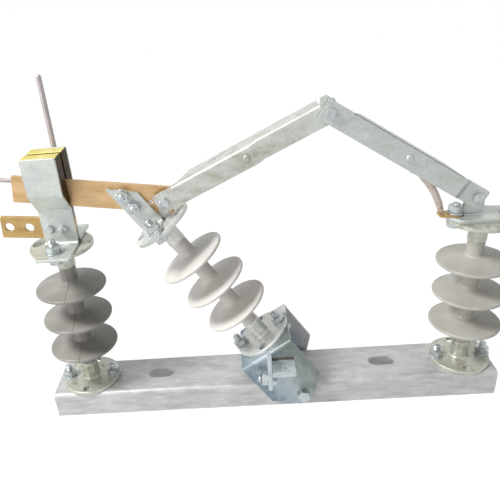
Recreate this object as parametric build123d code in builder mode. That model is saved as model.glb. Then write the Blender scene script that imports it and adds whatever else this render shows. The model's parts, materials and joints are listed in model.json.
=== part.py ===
"""Single-pole disconnect switch with a tilting middle insulator, on its own base channel.

Frame: +X runs along the channel from the jaw post to the hinge post, +Y goes to the rear, +Z is up.
The origin lies midway between the two mounting slots, at the level the channel stands on.
The switch is shown closed: the middle insulator leans over to the jaw post and its blade is in the
jaw. Turning the middle insulator the other way draws the blade out and folds the two arms upwards.
Everything is in millimetres.
"""

import os
from math import atan2, cos, degrees, hypot, radians, sin, tan

from build123d import *

# Base channel, open side down
channel_length = 736
channel_width = 90
channel_height = 45
channel_wall = 5
channel_corner = 8
slot_spacing = 380
slot_length = 44
slot_width = 22

# Insulators: a sheathed rod with three sheds between two flanged sockets
insulator_height = 260
flange_diameter = 96
flange_thickness = 6
flange_pitch_circle = 76
flange_hole = 14
socket_diameter = 28
socket_length = 32
sheath_diameter = 26
shed_diameter = 110
shed_rim = 5
shed_edge = 2
shed_first = 72.5
shed_pitch = 55.5
shed_top_rise = 8
shed_bottom_rise = 2
jaw_post_inset = 57
hinge_post_inset = 48
foot_hole = 13

# Hexagon bolts: shank, across flats, head height, nut height, and the thread left beyond the nut
M8 = (8, 13, 5.3, 6.5)
M10 = (10, 17, 6.4, 8)
M12 = (12, 19, 7.5, 10)
link_pin = M8
short_thread = 6
long_thread = 12
hole_play = 0.05
pin_play = 0.08
slide_play = 0.3

# Tilting bracket: a U bent from plate, upside down over the channel
pivot_x = 50
pivot_z = 28
lean = 34
bracket_offset = -2
bracket_length = 94
bracket_wall = 5
bracket_bend = 6
bracket_top = 104
bracket_gap = 5
shoulder_rise = 20
heel_length = 36
heel_drop = 15
spacer_diameter = 20
link_spacer = 16
side_hole = 8
side_hole_u = 20
side_hole_v = 57

# Drive lug, gusset and bolt on the front cheek, placed from the pivot
lug_left = -52
lug_length = 37
lug_reach = 33
lug_thickness = 9
lug_rise = 76
lug_hole = 9
lug_hole_place = 18
lug_hole_reach = 21
gusset_thickness = 6
gusset_low = 41
gusset_high = 106
gusset_slope = 20
drive_bolt_reach = 15
drive_bolt_rise = 52

# Blade and the two carriers that hold it on the middle insulator
blade_pivot_u = 28.5
blade_pivot_rise = 25
blade_width = 40
blade_thickness = 6
blade_slope = 8.2
blade_heel = 14
blade_overhang = 56
blade_hole = 6.5
blade_hole_back = 20.7
blade_hole_drop = 6.4
tip_rod_diameter = 6
tip_rod_end = 2.7
tip_rod_length = 62
tip_rod_drop = 8
carrier_left = -28
carrier_width = 34
carrier_thickness = 5
carrier_bend = 7
carrier_foot = 46
carrier_tall = 92
carrier_short = 73.5
carrier_corner = 3
carrier_bolts_at = ((-14, 69), (-13, 45))

# Folding arms: angle bars whose webs step back behind the next piece
arm_width = 30
arm_wall = 5
arm_ledge = 40
knee_washer = 1.5
knee_offset = 43.5
knee_rise = 137.6
arm_end = 12
pivot_ledge_gap = 20
pivot_ledge_taper = 28
knee_ledge_gap = 28
hinge_ledge_gap = 36
ledge_taper = 20
left_step_place = 144
left_step_length = 14
right_step_gap = 32
right_step_length = 9
pin_corner = 4
knee_corner = 2
left_rivet_place = 134
right_rivet_place = 130
rivet_shank = 7
rivet_head = 11
rivet_rise = 3
rivet_dome = 2.5
tab_base = 18
tab_tip = 9
tab_height = 8

# Hinge on the right-hand post
ear_nut_gap = 1
hinge_rise = 28.5
hinge_plate_length = 100
hinge_plate_width = 50
hinge_plate_thickness = 6
hinge_plate_corner = 24
ear_width = 29
ear_thickness = 6

# Jaw on the left-hand post
jaw_offset = 3.5
strip_width = 50
strip_wall = 4
strip_bend = 5
strip_foot = 55
strip_spread = 24
waist_drop = 28
shoulder_lift = 2
jaw_lift = 57
contact_drop = 18
clamp_pitch = 21
pad_length = 112
pad_height = 34
pad_right = 28
pad_rise = 27
pad_slope = 5.3
pad_hole = 14
pad_hole_pitch = 30
pad_hole_edge = 12
horn_diameter = 8
horn_end = 3.6
horn_offset = 9
horn_overlap = 47
horn_height = 101

# Flexible braid from the right arm to the hinge post
braid_diameter = 11
braid_lug_thickness = 3
braid_lug_width = 20
braid_lug_length = 24
braid_lug_climb = -52
post_lug_length = 20
braid_start = 1.2
braid_bend = 25
braid_belly = (39, 44)
braid_fall = (26, 18)

# Worked out from the sizes above
web_face = channel_height
cap_level = web_face + insulator_height
cheek_inner = channel_width / 2 + bracket_gap
cheek_face = cheek_inner + bracket_wall
bolt_reach = flange_pitch_circle / 2
jaw_post_x = -(channel_length / 2 - jaw_post_inset)
hinge_post_x = channel_length / 2 - hinge_post_inset
jaw_x = jaw_post_x + jaw_offset
blade_half = blade_thickness / 2
inner_back = -(blade_half + slide_play)
inner_face = inner_back - arm_wall
outer_back = inner_face - knee_washer
outer_face = outer_back - arm_wall
ledge_back = outer_face + arm_ledge
plate_level = cap_level + hinge_plate_thickness
cap_v = bracket_top + insulator_height
os.makedirs("parts", exist_ok=True)


# ---- planes and places ---------------------------------------------------------------------
def facing(point, y, angle=0):
    """Plane at depth y that faces the front; its X turns up by angle from +X, through (x, z)."""
    turn = radians(angle)
    return Plane(origin=(point[0], y, point[1]), x_dir=(cos(turn), 0, sin(turn)), z_dir=(0, -1, 0))


def lying(point, angle=0):
    """Plane with X along a bar that climbs by angle, Y to the rear and Z out of its upper side."""
    turn = radians(angle)
    return Plane(
        origin=(point[0], 0, point[1]),
        x_dir=(cos(turn), 0, sin(turn)),
        z_dir=(-sin(turn), 0, cos(turn)),
    )


def beside(seat, rise, along=0, across=0):
    """The seat plane raised, and shifted along and across its own face."""
    return Plane(seat.from_local_coords((along, across, rise)), x_dir=seat.x_dir, z_dir=seat.z_dir)


def under(seat, grip):
    """The plane on the far side of a stack of that thickness, facing away from the seat."""
    return Plane(seat.offset(-grip).origin, x_dir=seat.x_dir, z_dir=-seat.z_dir)


def on_lean(u, v):
    """World (x, z) of the point u across and v up along the leaning insulator, from its pivot."""
    turn = radians(lean)
    return pivot_x + u * cos(turn) - v * sin(turn), pivot_z + u * sin(turn) + v * cos(turn)


def between(start, end):
    """Length and climb in degrees from one (x, z) point to another."""
    run, rise = end[0] - start[0], end[1] - start[1]
    return hypot(run, rise), degrees(atan2(rise, run))


pivot = (pivot_x, pivot_z)
blade_pivot = on_lean(blade_pivot_u, cap_v + blade_pivot_rise)
braid_bolt_x = hinge_post_x - bolt_reach
hinge = (braid_bolt_x + M12[1] / 2 + ear_nut_gap + ear_width / 2, plate_level + hinge_rise)
knee = (pivot_x + knee_offset, hinge[1] + knee_rise)
blade_level = blade_pivot[1] + (blade_pivot[0] - jaw_x) * tan(radians(blade_slope))
blade_reach = (blade_pivot[0] - jaw_x + blade_overhang) / cos(radians(blade_slope))
left_length, left_climb = between(blade_pivot, knee)
right_length, right_climb = between(knee, hinge)


def keep(piece, name):
    piece.part.label = name
    export_step(piece.part, f"parts/{name}.step")


# ---- fasteners -----------------------------------------------------------------------------
def hex_bolts(name, size, thread, *stacks):
    """Hexagon bolts, one for each (seat plane, grip): head on the seat, nut on the far side."""
    shank, flats, head, nut = size
    with BuildPart() as bolts:
        for seat, grip in stacks:
            with BuildSketch(seat):
                RegularPolygon(flats / 2, 6, major_radius=False, rotation=30)
            extrude(amount=head)
            with BuildSketch(seat):
                Circle(shank / 2)
            extrude(amount=-(grip + nut + thread))
            with BuildSketch(seat.offset(-grip)):
                RegularPolygon(flats / 2, 6, major_radius=False, rotation=30)
            extrude(amount=-nut)
    keep(bolts, name)


def nuts_on_top(name, size, thread, *stacks):
    """The same bolts turned round: nut and thread on the seat, head on the far side."""
    hex_bolts(name, size, thread, *[(under(seat, grip), grip) for seat, grip in stacks])


def rivet(name, seat, grip):
    """A round-headed rivet: domed head on the seat, flat button on the far side."""
    with BuildPart() as pin:
        with BuildSketch(seat):
            Circle(rivet_head / 2)
        extrude(amount=rivet_rise)
        fillet(pin.faces().sort_by(Axis.Y)[0].edges(), rivet_dome)
        with BuildSketch(seat):
            Circle(rivet_shank / 2)
        extrude(amount=-grip)
        with BuildSketch(seat.offset(-grip)):
            Circle(rivet_head / 2)
        extrude(amount=-rivet_rise / 2)
    keep(pin, name)


# ---- base channel --------------------------------------------------------------------------
def bent_channel(section_plane, width, height, wall, corner, length):
    """Channel bent from plate, open side down, its section's top at height above the plane's X."""
    with BuildPart() as channel:
        with BuildSketch(section_plane) as section:
            Rectangle(width, height, align=(Align.CENTER, Align.MIN))
            inside = (width - 2 * wall, height - wall)
            Rectangle(*inside, align=(Align.CENTER, Align.MIN), mode=Mode.SUBTRACT)
            levels = section.vertices().group_by(Axis.Y)
            fillet(levels[-1], corner)
            fillet(levels[-2], corner - wall)
        extrude(amount=length)
    return channel


channel_stock = bent_channel(
    Plane.YZ.offset(-channel_length / 2), channel_width, channel_height, channel_wall, channel_corner,
    channel_length,
)
with BuildPart() as base_channel:
    add(channel_stock.part)
    with BuildSketch(Plane.XY.offset(channel_height)):
        with Locations((-slot_spacing / 2, 0), (slot_spacing / 2, 0)):
            SlotOverall(slot_length, slot_width)
        for post_x in (jaw_post_x, hinge_post_x):
            with Locations((post_x - bolt_reach, 0), (post_x + bolt_reach, 0)):
                Circle(foot_hole / 2)
    extrude(amount=-channel_wall, mode=Mode.SUBTRACT)
    with Locations(facing(pivot, 0)):
        Hole(M12[0] / 2 + hole_play)
keep(base_channel, "base_channel")


# ---- insulators ----------------------------------------------------------------------------
def insulator(seat, name):
    """Post insulator standing on the seat plane: two flanged sockets and a shedded rod."""
    socket_end = flange_thickness + socket_length
    for end, face, way in (("bottom", seat, 1), ("top", seat.offset(insulator_height), -1)):
        with BuildPart() as flange:
            with BuildSketch(face):
                Circle(flange_diameter / 2)
                with PolarLocations(bolt_reach, 4):
                    Circle(flange_hole / 2, mode=Mode.SUBTRACT)
            extrude(amount=way * flange_thickness)
            with BuildSketch(face.offset(way * flange_thickness)):
                Circle(socket_diameter / 2)
            extrude(amount=way * socket_length)
        keep(flange, f"{name}_{end}_flange")

    core, rim = sheath_diameter / 2, shed_diameter / 2
    with BuildPart() as rod:
        with BuildSketch(Plane(seat.origin, x_dir=seat.x_dir, z_dir=-seat.y_dir)) as profile:
            with Locations((core / 2, insulator_height / 2)):
                Rectangle(core, insulator_height - 2 * socket_end)
            with Locations(*[(0, shed_first + shed * shed_pitch) for shed in range(3)]):
                Polygon(
                    (0, shed_bottom_rise), (core, shed_bottom_rise), (rim, 0), (rim, shed_rim),
                    (core, shed_rim + shed_top_rise), (0, shed_rim + shed_top_rise),
                    align=None,
                )
            fillet(profile.vertices().group_by(Axis.X)[-1], shed_edge)
        revolve(axis=Axis(seat.origin, seat.z_dir))
    keep(rod, f"{name}_insulator")


jaw_seat = lying((jaw_post_x, web_face))
hinge_seat = lying((hinge_post_x, web_face))
lean_seat = lying(on_lean(bracket_offset, bracket_top), lean)
insulator(jaw_seat, "left")
insulator(hinge_seat, "right")
insulator(lean_seat, "tilt")

for seat, wall, name in (
    (jaw_seat, channel_wall, "left"),
    (hinge_seat, channel_wall, "right"),
    (lean_seat, bracket_wall, "tilt"),
):
    nuts_on_top(
        f"{name}_base_bolts", M12, long_thread,
        (beside(seat, flange_thickness, -bolt_reach), flange_thickness + wall),
        (beside(seat, flange_thickness, bolt_reach), flange_thickness + wall),
    )


# ---- tilting bracket -----------------------------------------------------------------------
def across_lean(u, v):
    """Plane across the leaning insulator: X to the rear, Y up along it, Z towards its upper side."""
    x, z = on_lean(u, v)
    turn = radians(lean)
    return Plane(origin=(x, 0, z), x_dir=(0, 1, 0), z_dir=(cos(turn), 0, sin(turn)))


bracket_left = bracket_offset - bracket_length / 2
bracket_right = bracket_left + bracket_length
bracket_stock = bent_channel(
    across_lean(bracket_left, -heel_drop), 2 * cheek_face, bracket_top + heel_drop, bracket_wall,
    bracket_bend, bracket_length,
)
with BuildPart() as tilt_bracket:
    add(bracket_stock.part)
    with BuildSketch(facing(pivot, cheek_face, lean)) as cheek:
        Polygon(
            (bracket_left, bracket_top), (bracket_left, shoulder_rise),
            (-heel_length / 2, -heel_drop), (heel_length / 2, -heel_drop),
            (bracket_right, shoulder_rise), (bracket_right, bracket_top),
            align=None,
        )
        fillet(cheek.vertices().sort_by(Axis.Y)[:4], bracket_wall)
    extrude(amount=2 * cheek_face, mode=Mode.INTERSECT)
    with Locations(facing(pivot, 0)):
        Hole(M12[0] / 2 + pin_play)
    with Locations(facing(on_lean(side_hole_u, side_hole_v), 0)):
        Hole(side_hole / 2)
    with BuildSketch(lean_seat):
        with Locations((-bolt_reach, 0), (bolt_reach, 0)):
            Circle(foot_hole / 2)
    extrude(amount=-bracket_wall, mode=Mode.SUBTRACT)
keep(tilt_bracket, "tilt_bracket")

pivot_reach = cheek_face + slide_play
hex_bolts("pivot_bolt", M12, short_thread, (facing(pivot, -pivot_reach), 2 * pivot_reach))

with BuildPart() as pivot_spacers:
    for depth in (-channel_width / 2, cheek_inner - slide_play):
        with BuildSketch(facing(pivot, depth)):
            Circle(spacer_diameter / 2)
            Circle(M12[0] / 2 + hole_play, mode=Mode.SUBTRACT)
        extrude(amount=bracket_gap - slide_play)
keep(pivot_spacers, "pivot_spacers")

with BuildPart() as drive_lug:
    with BuildSketch(Plane.XY.offset(pivot_z + lug_rise)):
        with Locations((pivot_x + lug_left, -cheek_face)):
            Rectangle(lug_length, lug_reach, align=(Align.MIN, Align.MAX))
        with Locations((pivot_x + lug_left + lug_hole_place, -cheek_face - lug_hole_reach)):
            Circle(lug_hole / 2, mode=Mode.SUBTRACT)
    extrude(amount=-lug_thickness)
keep(drive_lug, "drive_lug")

gusset_face = Plane(
    origin=(pivot_x + lug_left, -cheek_face, pivot_z), x_dir=(0, 1, 0), z_dir=(1, 0, 0)
)
with BuildPart() as drive_gusset:
    with BuildSketch(gusset_face):
        Polygon(
            (0, gusset_low), (-lug_reach, gusset_low), (-lug_reach, gusset_high),
            (0, gusset_high - gusset_slope),
            align=None,
        )
        with Locations((-drive_bolt_reach, drive_bolt_rise)):
            Circle(M12[0] / 2 + hole_play, mode=Mode.SUBTRACT)
    extrude(amount=-gusset_thickness)
keep(drive_gusset, "drive_gusset")
drive_bolt_seat = beside(gusset_face, 0, -drive_bolt_reach, drive_bolt_rise)
hex_bolts("drive_bolt", M12, short_thread, (drive_bolt_seat, gusset_thickness))


# ---- blade and its carriers ----------------------------------------------------------------
lean_cap = lying(on_lean(0, cap_v), lean)
carrier_face = blade_half + carrier_thickness
with BuildPart() as carrier_front:
    with BuildSketch(across_lean(carrier_left, cap_v)):
        with BuildLine():
            FilletPolyline(
                (-carrier_face - carrier_foot, carrier_thickness),
                (-carrier_face, carrier_thickness),
                (-carrier_face, carrier_tall),
                radius=carrier_bend - carrier_thickness,
            )
            offset(amount=carrier_thickness, side=Side.RIGHT)
        make_face()
    extrude(amount=carrier_width)
    with BuildSketch(facing(on_lean(carrier_left, cap_v), 0, lean)) as slant:
        Polygon(
            (0, 0), (0, carrier_tall), (carrier_width, carrier_short), (carrier_width, 0),
            align=None,
        )
        fillet(slant.vertices().sort_by(Axis.Y)[-2:], carrier_corner)
    extrude(amount=carrier_face + carrier_foot, mode=Mode.INTERSECT)
    with BuildSketch(lean_cap):
        with Locations((bracket_offset, -bolt_reach)):
            Circle(flange_hole / 2)
    extrude(amount=carrier_thickness, mode=Mode.SUBTRACT)
    for u, rise in carrier_bolts_at:
        with Locations(facing(on_lean(u, cap_v + rise), 0)):
            Hole(M10[0] / 2 + hole_play)
keep(carrier_front, "carrier_front")

with BuildPart() as carrier_rear:
    mirror(carrier_front.part, about=Plane.XZ)
keep(carrier_rear, "carrier_rear")

nuts_on_top(
    "carrier_foot_bolts", M12, long_thread,
    *[
        (beside(lean_cap, carrier_thickness, bracket_offset, reach), carrier_thickness + flange_thickness)
        for reach in (-bolt_reach, bolt_reach)
    ],
)
nuts_on_top(
    "carrier_bolts", M10, short_thread,
    *[
        (facing(on_lean(u, cap_v + rise), -carrier_face), 2 * carrier_face)
        for u, rise in carrier_bolts_at
    ],
)

with BuildPart() as blade:
    with BuildSketch(facing(blade_pivot, blade_half, -blade_slope)):
        with Locations((blade_heel, 0)):
            Rectangle(blade_reach + blade_heel, blade_width, align=(Align.MAX, Align.CENTER))
        with Locations((-blade_hole_back, -blade_hole_drop)):
            Circle(blade_hole / 2, mode=Mode.SUBTRACT)
    extrude(amount=blade_thickness)
    with Locations(facing(blade_pivot, 0)):
        Hole(link_pin[0] / 2 + hole_play)
    for u, rise in carrier_bolts_at:
        with Locations(facing(on_lean(u, cap_v + rise), 0)):
            Hole(M10[0] / 2 + hole_play)
keep(blade, "blade")

blade_line = lying(blade_pivot, -blade_slope)
blade_end = blade_line.from_local_coords((-blade_reach, 0, blade_width / 2 - tip_rod_drop))
with BuildPart() as moving_arcing_horn:
    with BuildSketch(Plane(blade_end, x_dir=(0, 1, 0), z_dir=-blade_line.x_dir)):
        Circle(tip_rod_diameter / 2)
    extrude(amount=tip_rod_length)
    fillet(moving_arcing_horn.faces().sort_by(Axis.X)[0].edges(), tip_rod_end)
keep(moving_arcing_horn, "moving_arcing_horn")

with BuildPart() as blade_pivot_nut:
    with BuildSketch(facing(blade_pivot, -blade_half)):
        Circle(link_spacer / 2)
    extrude(amount=-blade_half - slide_play - outer_back)
    with BuildSketch(facing(blade_pivot, -blade_half)):
        Circle(link_pin[0] / 2)
    extrude(amount=-(blade_thickness + link_pin[3] + short_thread))
    with BuildSketch(facing(blade_pivot, blade_half)):
        RegularPolygon(link_pin[1] / 2, 6, major_radius=False)
    extrude(amount=-link_pin[3])
keep(blade_pivot_nut, "blade_pivot_nut")

with BuildPart() as blade_pivot_bolt:
    with BuildSketch(facing(blade_pivot, outer_face)):
        RegularPolygon(link_pin[1] / 2, 6, major_radius=False)
    extrude(amount=link_pin[2])
    with BuildSketch(facing(blade_pivot, outer_face)):
        Circle(link_pin[0] / 2)
    extrude(amount=-arm_wall)
keep(blade_pivot_bolt, "blade_pivot_bolt")


# ---- folding arms --------------------------------------------------------------------------
def angle_bar(start, climb, length, corners, step, ledge, tapers, bores, rivet_at):
    """Angle bar from the point start: its web steps to the rear at step and its ledge runs over ledge.

    corners are the corner radii of its two ends, and bores are its two pivot hole radii.
    The ledge narrows to the web over a taper at each of its ends.
    """
    plan = lying(start, climb)
    first, last = -arm_end, length + arm_end
    bend, flat = step
    outer_middle, inner_middle = (outer_face + outer_back) / 2, (inner_face + inner_back) / 2
    if ledge[1] > flat:
        ledge_front = ((bend, outer_middle), (flat, inner_middle), (ledge[1], inner_middle))
    else:
        ledge_front = ((ledge[1], outer_middle),)
    with BuildPart() as bar:
        with BuildSketch(plan.offset(-arm_width / 2)):
            Polygon(
                (first, outer_face), (bend, outer_face), (flat, inner_face), (last, inner_face),
                (last, inner_back), (flat, inner_back), (bend, outer_back), (first, outer_back),
                align=None,
            )
        extrude(amount=arm_width)
        bar_axis = Axis(plan.origin, plan.x_dir)
        fillet(bar.edges().filter_by(Axis.Y).sort_by(bar_axis)[:2], corners[0])
        fillet(bar.edges().filter_by(Axis.Y).sort_by(bar_axis)[-2:], corners[1])
        with BuildSketch(plan.offset(arm_width / 2 - arm_wall)):
            Polygon(
                (ledge[0], outer_middle), *ledge_front,
                (ledge[1] - tapers[1], ledge_back), (ledge[0] + tapers[0], ledge_back),
                align=None,
            )
        extrude(amount=arm_wall)
        rivet_bore = rivet_shank / 2 + hole_play
        for place, radius in ((0, bores[0]), (length, bores[1]), (rivet_at, rivet_bore)):
            spot = plan.from_local_coords((place, 0, 0))
            with Locations(facing((spot.X, spot.Z), 0)):
                Hole(radius)
    return bar


left_arm_bar = angle_bar(
    blade_pivot, left_climb, left_length,
    corners=(pin_corner, knee_corner),
    step=(left_step_place, left_step_place + left_step_length),
    ledge=(pivot_ledge_gap, left_length - tab_base / 2), tapers=(pivot_ledge_taper, 0),
    bores=(link_pin[0] / 2 + hole_play, link_pin[0] / 2 + pin_play),
    rivet_at=left_rivet_place,
)
with BuildPart() as left_arm:
    add(left_arm_bar.part)
    with BuildSketch(facing(blade_pivot, inner_back, left_climb)):
        Polygon(
            (left_length - tab_base / 2, arm_width / 2 - knee_corner),
            (left_length + tab_base / 2, arm_width / 2 - knee_corner),
            (left_length + tab_tip / 2, arm_width / 2 + tab_height),
            (left_length - tab_tip / 2, arm_width / 2 + tab_height),
            align=None,
        )
    extrude(amount=arm_wall)
keep(left_arm, "left_arm")

step_end = right_length - right_step_gap + right_step_length
right_arm = angle_bar(
    knee, right_climb, right_length,
    corners=(knee_corner, pin_corner),
    step=(right_length - right_step_gap, step_end),
    ledge=(knee_ledge_gap, right_length - hinge_ledge_gap), tapers=(ledge_taper, ledge_taper),
    bores=(link_pin[0] / 2 + hole_play, link_pin[0] / 2 + pin_play),
    rivet_at=right_rivet_place,
)
keep(right_arm, "right_arm")
hex_bolts("knee_bolt", link_pin, short_thread, (facing(knee, outer_face), -blade_half - outer_face))


def along_bar(start, climb, place):
    """World (x, z) of a place along a bar."""
    return start[0] + place * cos(radians(climb)), start[1] + place * sin(radians(climb))


left_rivet_spot = along_bar(blade_pivot, left_climb, left_rivet_place)
right_rivet_spot = along_bar(knee, right_climb, right_rivet_place)
rivet("left_arm_rivet", facing(left_rivet_spot, outer_face), arm_wall)
rivet("right_arm_rivet", facing(right_rivet_spot, outer_face), arm_wall + braid_lug_thickness)


# ---- hinge post ----------------------------------------------------------------------------
with BuildPart() as hinge_plate:
    with BuildSketch(Plane.XY.offset(cap_level)):
        with Locations((hinge_post_x, 0)):
            RectangleRounded(hinge_plate_length, hinge_plate_width, hinge_plate_corner)
        with Locations((hinge_post_x - bolt_reach, 0), (hinge_post_x + bolt_reach, 0)):
            Circle(flange_hole / 2, mode=Mode.SUBTRACT)
    extrude(amount=hinge_plate_thickness)
keep(hinge_plate, "hinge_plate")

with BuildPart() as hinge_ear:
    with BuildSketch(facing((hinge[0], plate_level), ear_thickness / 2)):
        Rectangle(ear_width, hinge_rise, align=(Align.CENTER, Align.MIN))
        with Locations((0, hinge_rise)):
            Circle(ear_width / 2)
            Circle(link_pin[0] / 2 + hole_play, mode=Mode.SUBTRACT)
    extrude(amount=ear_thickness)
keep(hinge_ear, "hinge_ear")
hinge_seat_y = inner_face - slide_play
hex_bolts("hinge_bolt", link_pin, short_thread, (facing(hinge, hinge_seat_y), ear_thickness / 2 - hinge_seat_y))

plate_grip = hinge_plate_thickness + flange_thickness
nuts_on_top(
    "hinge_plate_bolts", M12, short_thread,
    (lying((braid_bolt_x, plate_level + braid_lug_thickness)), plate_grip + braid_lug_thickness),
    (lying((hinge_post_x + bolt_reach, plate_level)), plate_grip),
)


# ---- braid ---------------------------------------------------------------------------------
lug_back = outer_back + braid_lug_thickness
with BuildPart() as braid_arm_lug:
    with BuildSketch(facing(right_rivet_spot, lug_back, braid_lug_climb)):
        Circle(braid_lug_width / 2)
        Rectangle(braid_lug_length, braid_lug_width, align=(Align.MIN, Align.CENTER))
        Circle(rivet_shank / 2 + hole_play, mode=Mode.SUBTRACT)
    extrude(amount=braid_lug_thickness)
keep(braid_arm_lug, "braid_arm_lug")

braid_end = along_bar(right_rivet_spot, braid_lug_climb, braid_lug_length + braid_start)
braid_y = outer_back + braid_diameter / 2 + slide_play
post_lug_top = plate_level + braid_lug_thickness
with BuildPart() as braid:
    with BuildLine():
        route = FilletPolyline(
            (braid_end[0], braid_y, braid_end[1]),
            (braid_bolt_x - braid_belly[0], braid_y, plate_level + braid_belly[1]),
            (braid_bolt_x - braid_fall[0], braid_y / 2, plate_level + braid_fall[1]),
            (braid_bolt_x - post_lug_length, 0, post_lug_top),
            radius=braid_bend,
        )
    with BuildSketch(Plane(route @ 0, z_dir=route % 0)):
        Circle(braid_diameter / 2)
    sweep(path=route)
    with BuildSketch(Plane.XY.offset(plate_level)):
        with Locations((braid_bolt_x, 0)):
            Circle(braid_lug_width / 2)
            Rectangle(post_lug_length + braid_diameter / 2, braid_diameter, align=(Align.MAX, Align.CENTER))
            Circle(M12[0] / 2 + hole_play, mode=Mode.SUBTRACT)
    extrude(amount=braid_lug_thickness)
keep(braid, "braid")


# ---- jaw post ------------------------------------------------------------------------------
strip_back = blade_half
strip_face = strip_back + strip_wall
waist = blade_level - waist_drop
shoulder = blade_level + shoulder_lift
jaw_top = blade_level + jaw_lift
contact_foot = blade_level - contact_drop
with BuildPart() as jaw_front_strip:
    with BuildSketch(Plane.YZ.offset(jaw_x - strip_width / 2)):
        with BuildLine():
            FilletPolyline(
                (-strip_face - strip_foot, cap_level + strip_wall),
                (-strip_face, cap_level + strip_wall),
                (-strip_face, waist),
                (-strip_face - strip_spread, shoulder),
                (-strip_face - strip_spread, jaw_top),
                radius=strip_bend,
            )
            offset(amount=strip_wall, side=Side.RIGHT)
        make_face()
    extrude(amount=strip_width)
    with BuildSketch(Plane.XY.offset(cap_level)):
        with Locations((jaw_post_x, -bolt_reach)):
            Circle(flange_hole / 2)
    extrude(amount=strip_wall, mode=Mode.SUBTRACT)
    clamp_spots = [
        along_bar((jaw_post_x, cap_level + pad_rise), -pad_slope, place)
        for place in (-clamp_pitch / 2, clamp_pitch / 2)
    ]
    for spot in clamp_spots:
        with Locations(facing(spot, 0)):
            Hole(M8[0] / 2 + hole_play)
keep(jaw_front_strip, "jaw_front_strip")

with BuildPart() as jaw_rear_strip:
    mirror(jaw_front_strip.part, about=Plane.XZ)
keep(jaw_rear_strip, "jaw_rear_strip")

foot_depth = strip_back + strip_spread * (contact_foot - waist) / (shoulder - waist)
strip_middle = strip_wall / 2
with BuildPart() as jaw_front_contact:
    with BuildSketch(Plane.YZ.offset(jaw_x - strip_width / 2)):
        Polygon(
            (-blade_half - slide_play, contact_foot), (-blade_half - slide_play, jaw_top),
            (-strip_back - strip_spread - strip_middle, jaw_top),
            (-strip_back - strip_spread - strip_middle, shoulder),
            (-foot_depth - strip_middle, contact_foot),
            align=None,
        )
    extrude(amount=strip_width)
    add(jaw_front_strip.part, mode=Mode.SUBTRACT)
keep(jaw_front_contact, "jaw_front_contact")

with BuildPart() as jaw_rear_contact:
    mirror(jaw_front_contact.part, about=Plane.XZ)
keep(jaw_rear_contact, "jaw_rear_contact")

with BuildPart() as terminal_pad:
    with BuildSketch(facing((jaw_post_x, cap_level + pad_rise), blade_half, -pad_slope)):
        with Locations((pad_right, 0)):
            Rectangle(pad_length, pad_height, align=(Align.MAX, Align.CENTER))
        pad_left = pad_right - pad_length + pad_hole_edge
        with Locations((pad_left, 0), (pad_left + pad_hole_pitch, 0)):
            Circle(pad_hole / 2, mode=Mode.SUBTRACT)
    extrude(amount=blade_thickness)
    for spot in clamp_spots:
        with Locations(facing(spot, 0)):
            Hole(M8[0] / 2 + hole_play)
keep(terminal_pad, "terminal_pad")

hex_bolts(
    "jaw_clamp_bolts", M8, short_thread,
    *[(facing(spot, -strip_face), 2 * strip_face) for spot in clamp_spots],
)
nuts_on_top(
    "jaw_foot_bolts", M12, long_thread,
    *[
        (beside(jaw_seat, insulator_height + strip_wall, 0, reach), strip_wall + flange_thickness)
        for reach in (-bolt_reach, bolt_reach)
    ],
)

horn_y = strip_face + strip_spread + horn_diameter / 2
with BuildPart() as fixed_arcing_horn:
    with BuildSketch(Plane.XY.offset(jaw_top - horn_overlap)):
        with Locations((jaw_post_x + horn_offset, horn_y)):
            Circle(horn_diameter / 2)
    extrude(amount=horn_overlap + horn_height)
    fillet(fixed_arcing_horn.faces().sort_by(Axis.Z)[-1].edges(), horn_end)
keep(fixed_arcing_horn, "fixed_arcing_horn")
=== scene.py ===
"""Looks of a disconnect switch with a tilting middle insulator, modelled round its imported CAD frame.

Every piece is modelled on a bench in millimetres, upright and centred where that is simplest. fit()
then turns it to its place on the switch and brings it to metres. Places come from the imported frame.
"""

import json
import random
from contextlib import contextmanager
from math import atan2, cos, hypot, pi, radians, sin, tan

import bmesh
import bpy
from mathutils import Matrix, Vector


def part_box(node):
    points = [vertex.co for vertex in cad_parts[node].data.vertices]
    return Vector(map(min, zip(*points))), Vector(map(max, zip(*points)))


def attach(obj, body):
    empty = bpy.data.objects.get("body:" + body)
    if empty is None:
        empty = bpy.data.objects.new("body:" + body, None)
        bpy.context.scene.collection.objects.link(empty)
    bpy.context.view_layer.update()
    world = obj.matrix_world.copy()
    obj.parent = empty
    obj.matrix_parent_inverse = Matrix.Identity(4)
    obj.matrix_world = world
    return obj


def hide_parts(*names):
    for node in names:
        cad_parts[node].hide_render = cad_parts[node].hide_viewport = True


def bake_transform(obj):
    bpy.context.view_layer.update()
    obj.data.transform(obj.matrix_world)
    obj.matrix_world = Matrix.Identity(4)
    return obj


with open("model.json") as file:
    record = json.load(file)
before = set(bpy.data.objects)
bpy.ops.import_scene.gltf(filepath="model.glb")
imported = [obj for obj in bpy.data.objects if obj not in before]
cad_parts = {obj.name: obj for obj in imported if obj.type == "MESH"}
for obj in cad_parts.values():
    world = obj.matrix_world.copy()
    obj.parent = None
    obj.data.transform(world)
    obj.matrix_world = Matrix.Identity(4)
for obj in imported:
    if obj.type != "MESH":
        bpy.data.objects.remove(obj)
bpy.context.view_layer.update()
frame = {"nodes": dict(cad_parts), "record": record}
record = frame["record"]
body_of_node = {node: body for body, nodes in record["behaviour"]["bodies"].items() for node in nodes}

# ---- sizes in millimetres ----------------------------------------------------------------------
LEAN = radians(34)
BLADE_SLOPE = radians(8.2)
PAD_SLOPE = radians(5.3)

CHANNEL_LENGTH = 736
CHANNEL_WIDTH = 90
CHANNEL_HEIGHT = 45
CHANNEL_WALL = 5
CHANNEL_CORNER = 8
SLOT_SPACING = 380
SLOT_LENGTH = 44
SLOT_WIDTH = 22

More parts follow.
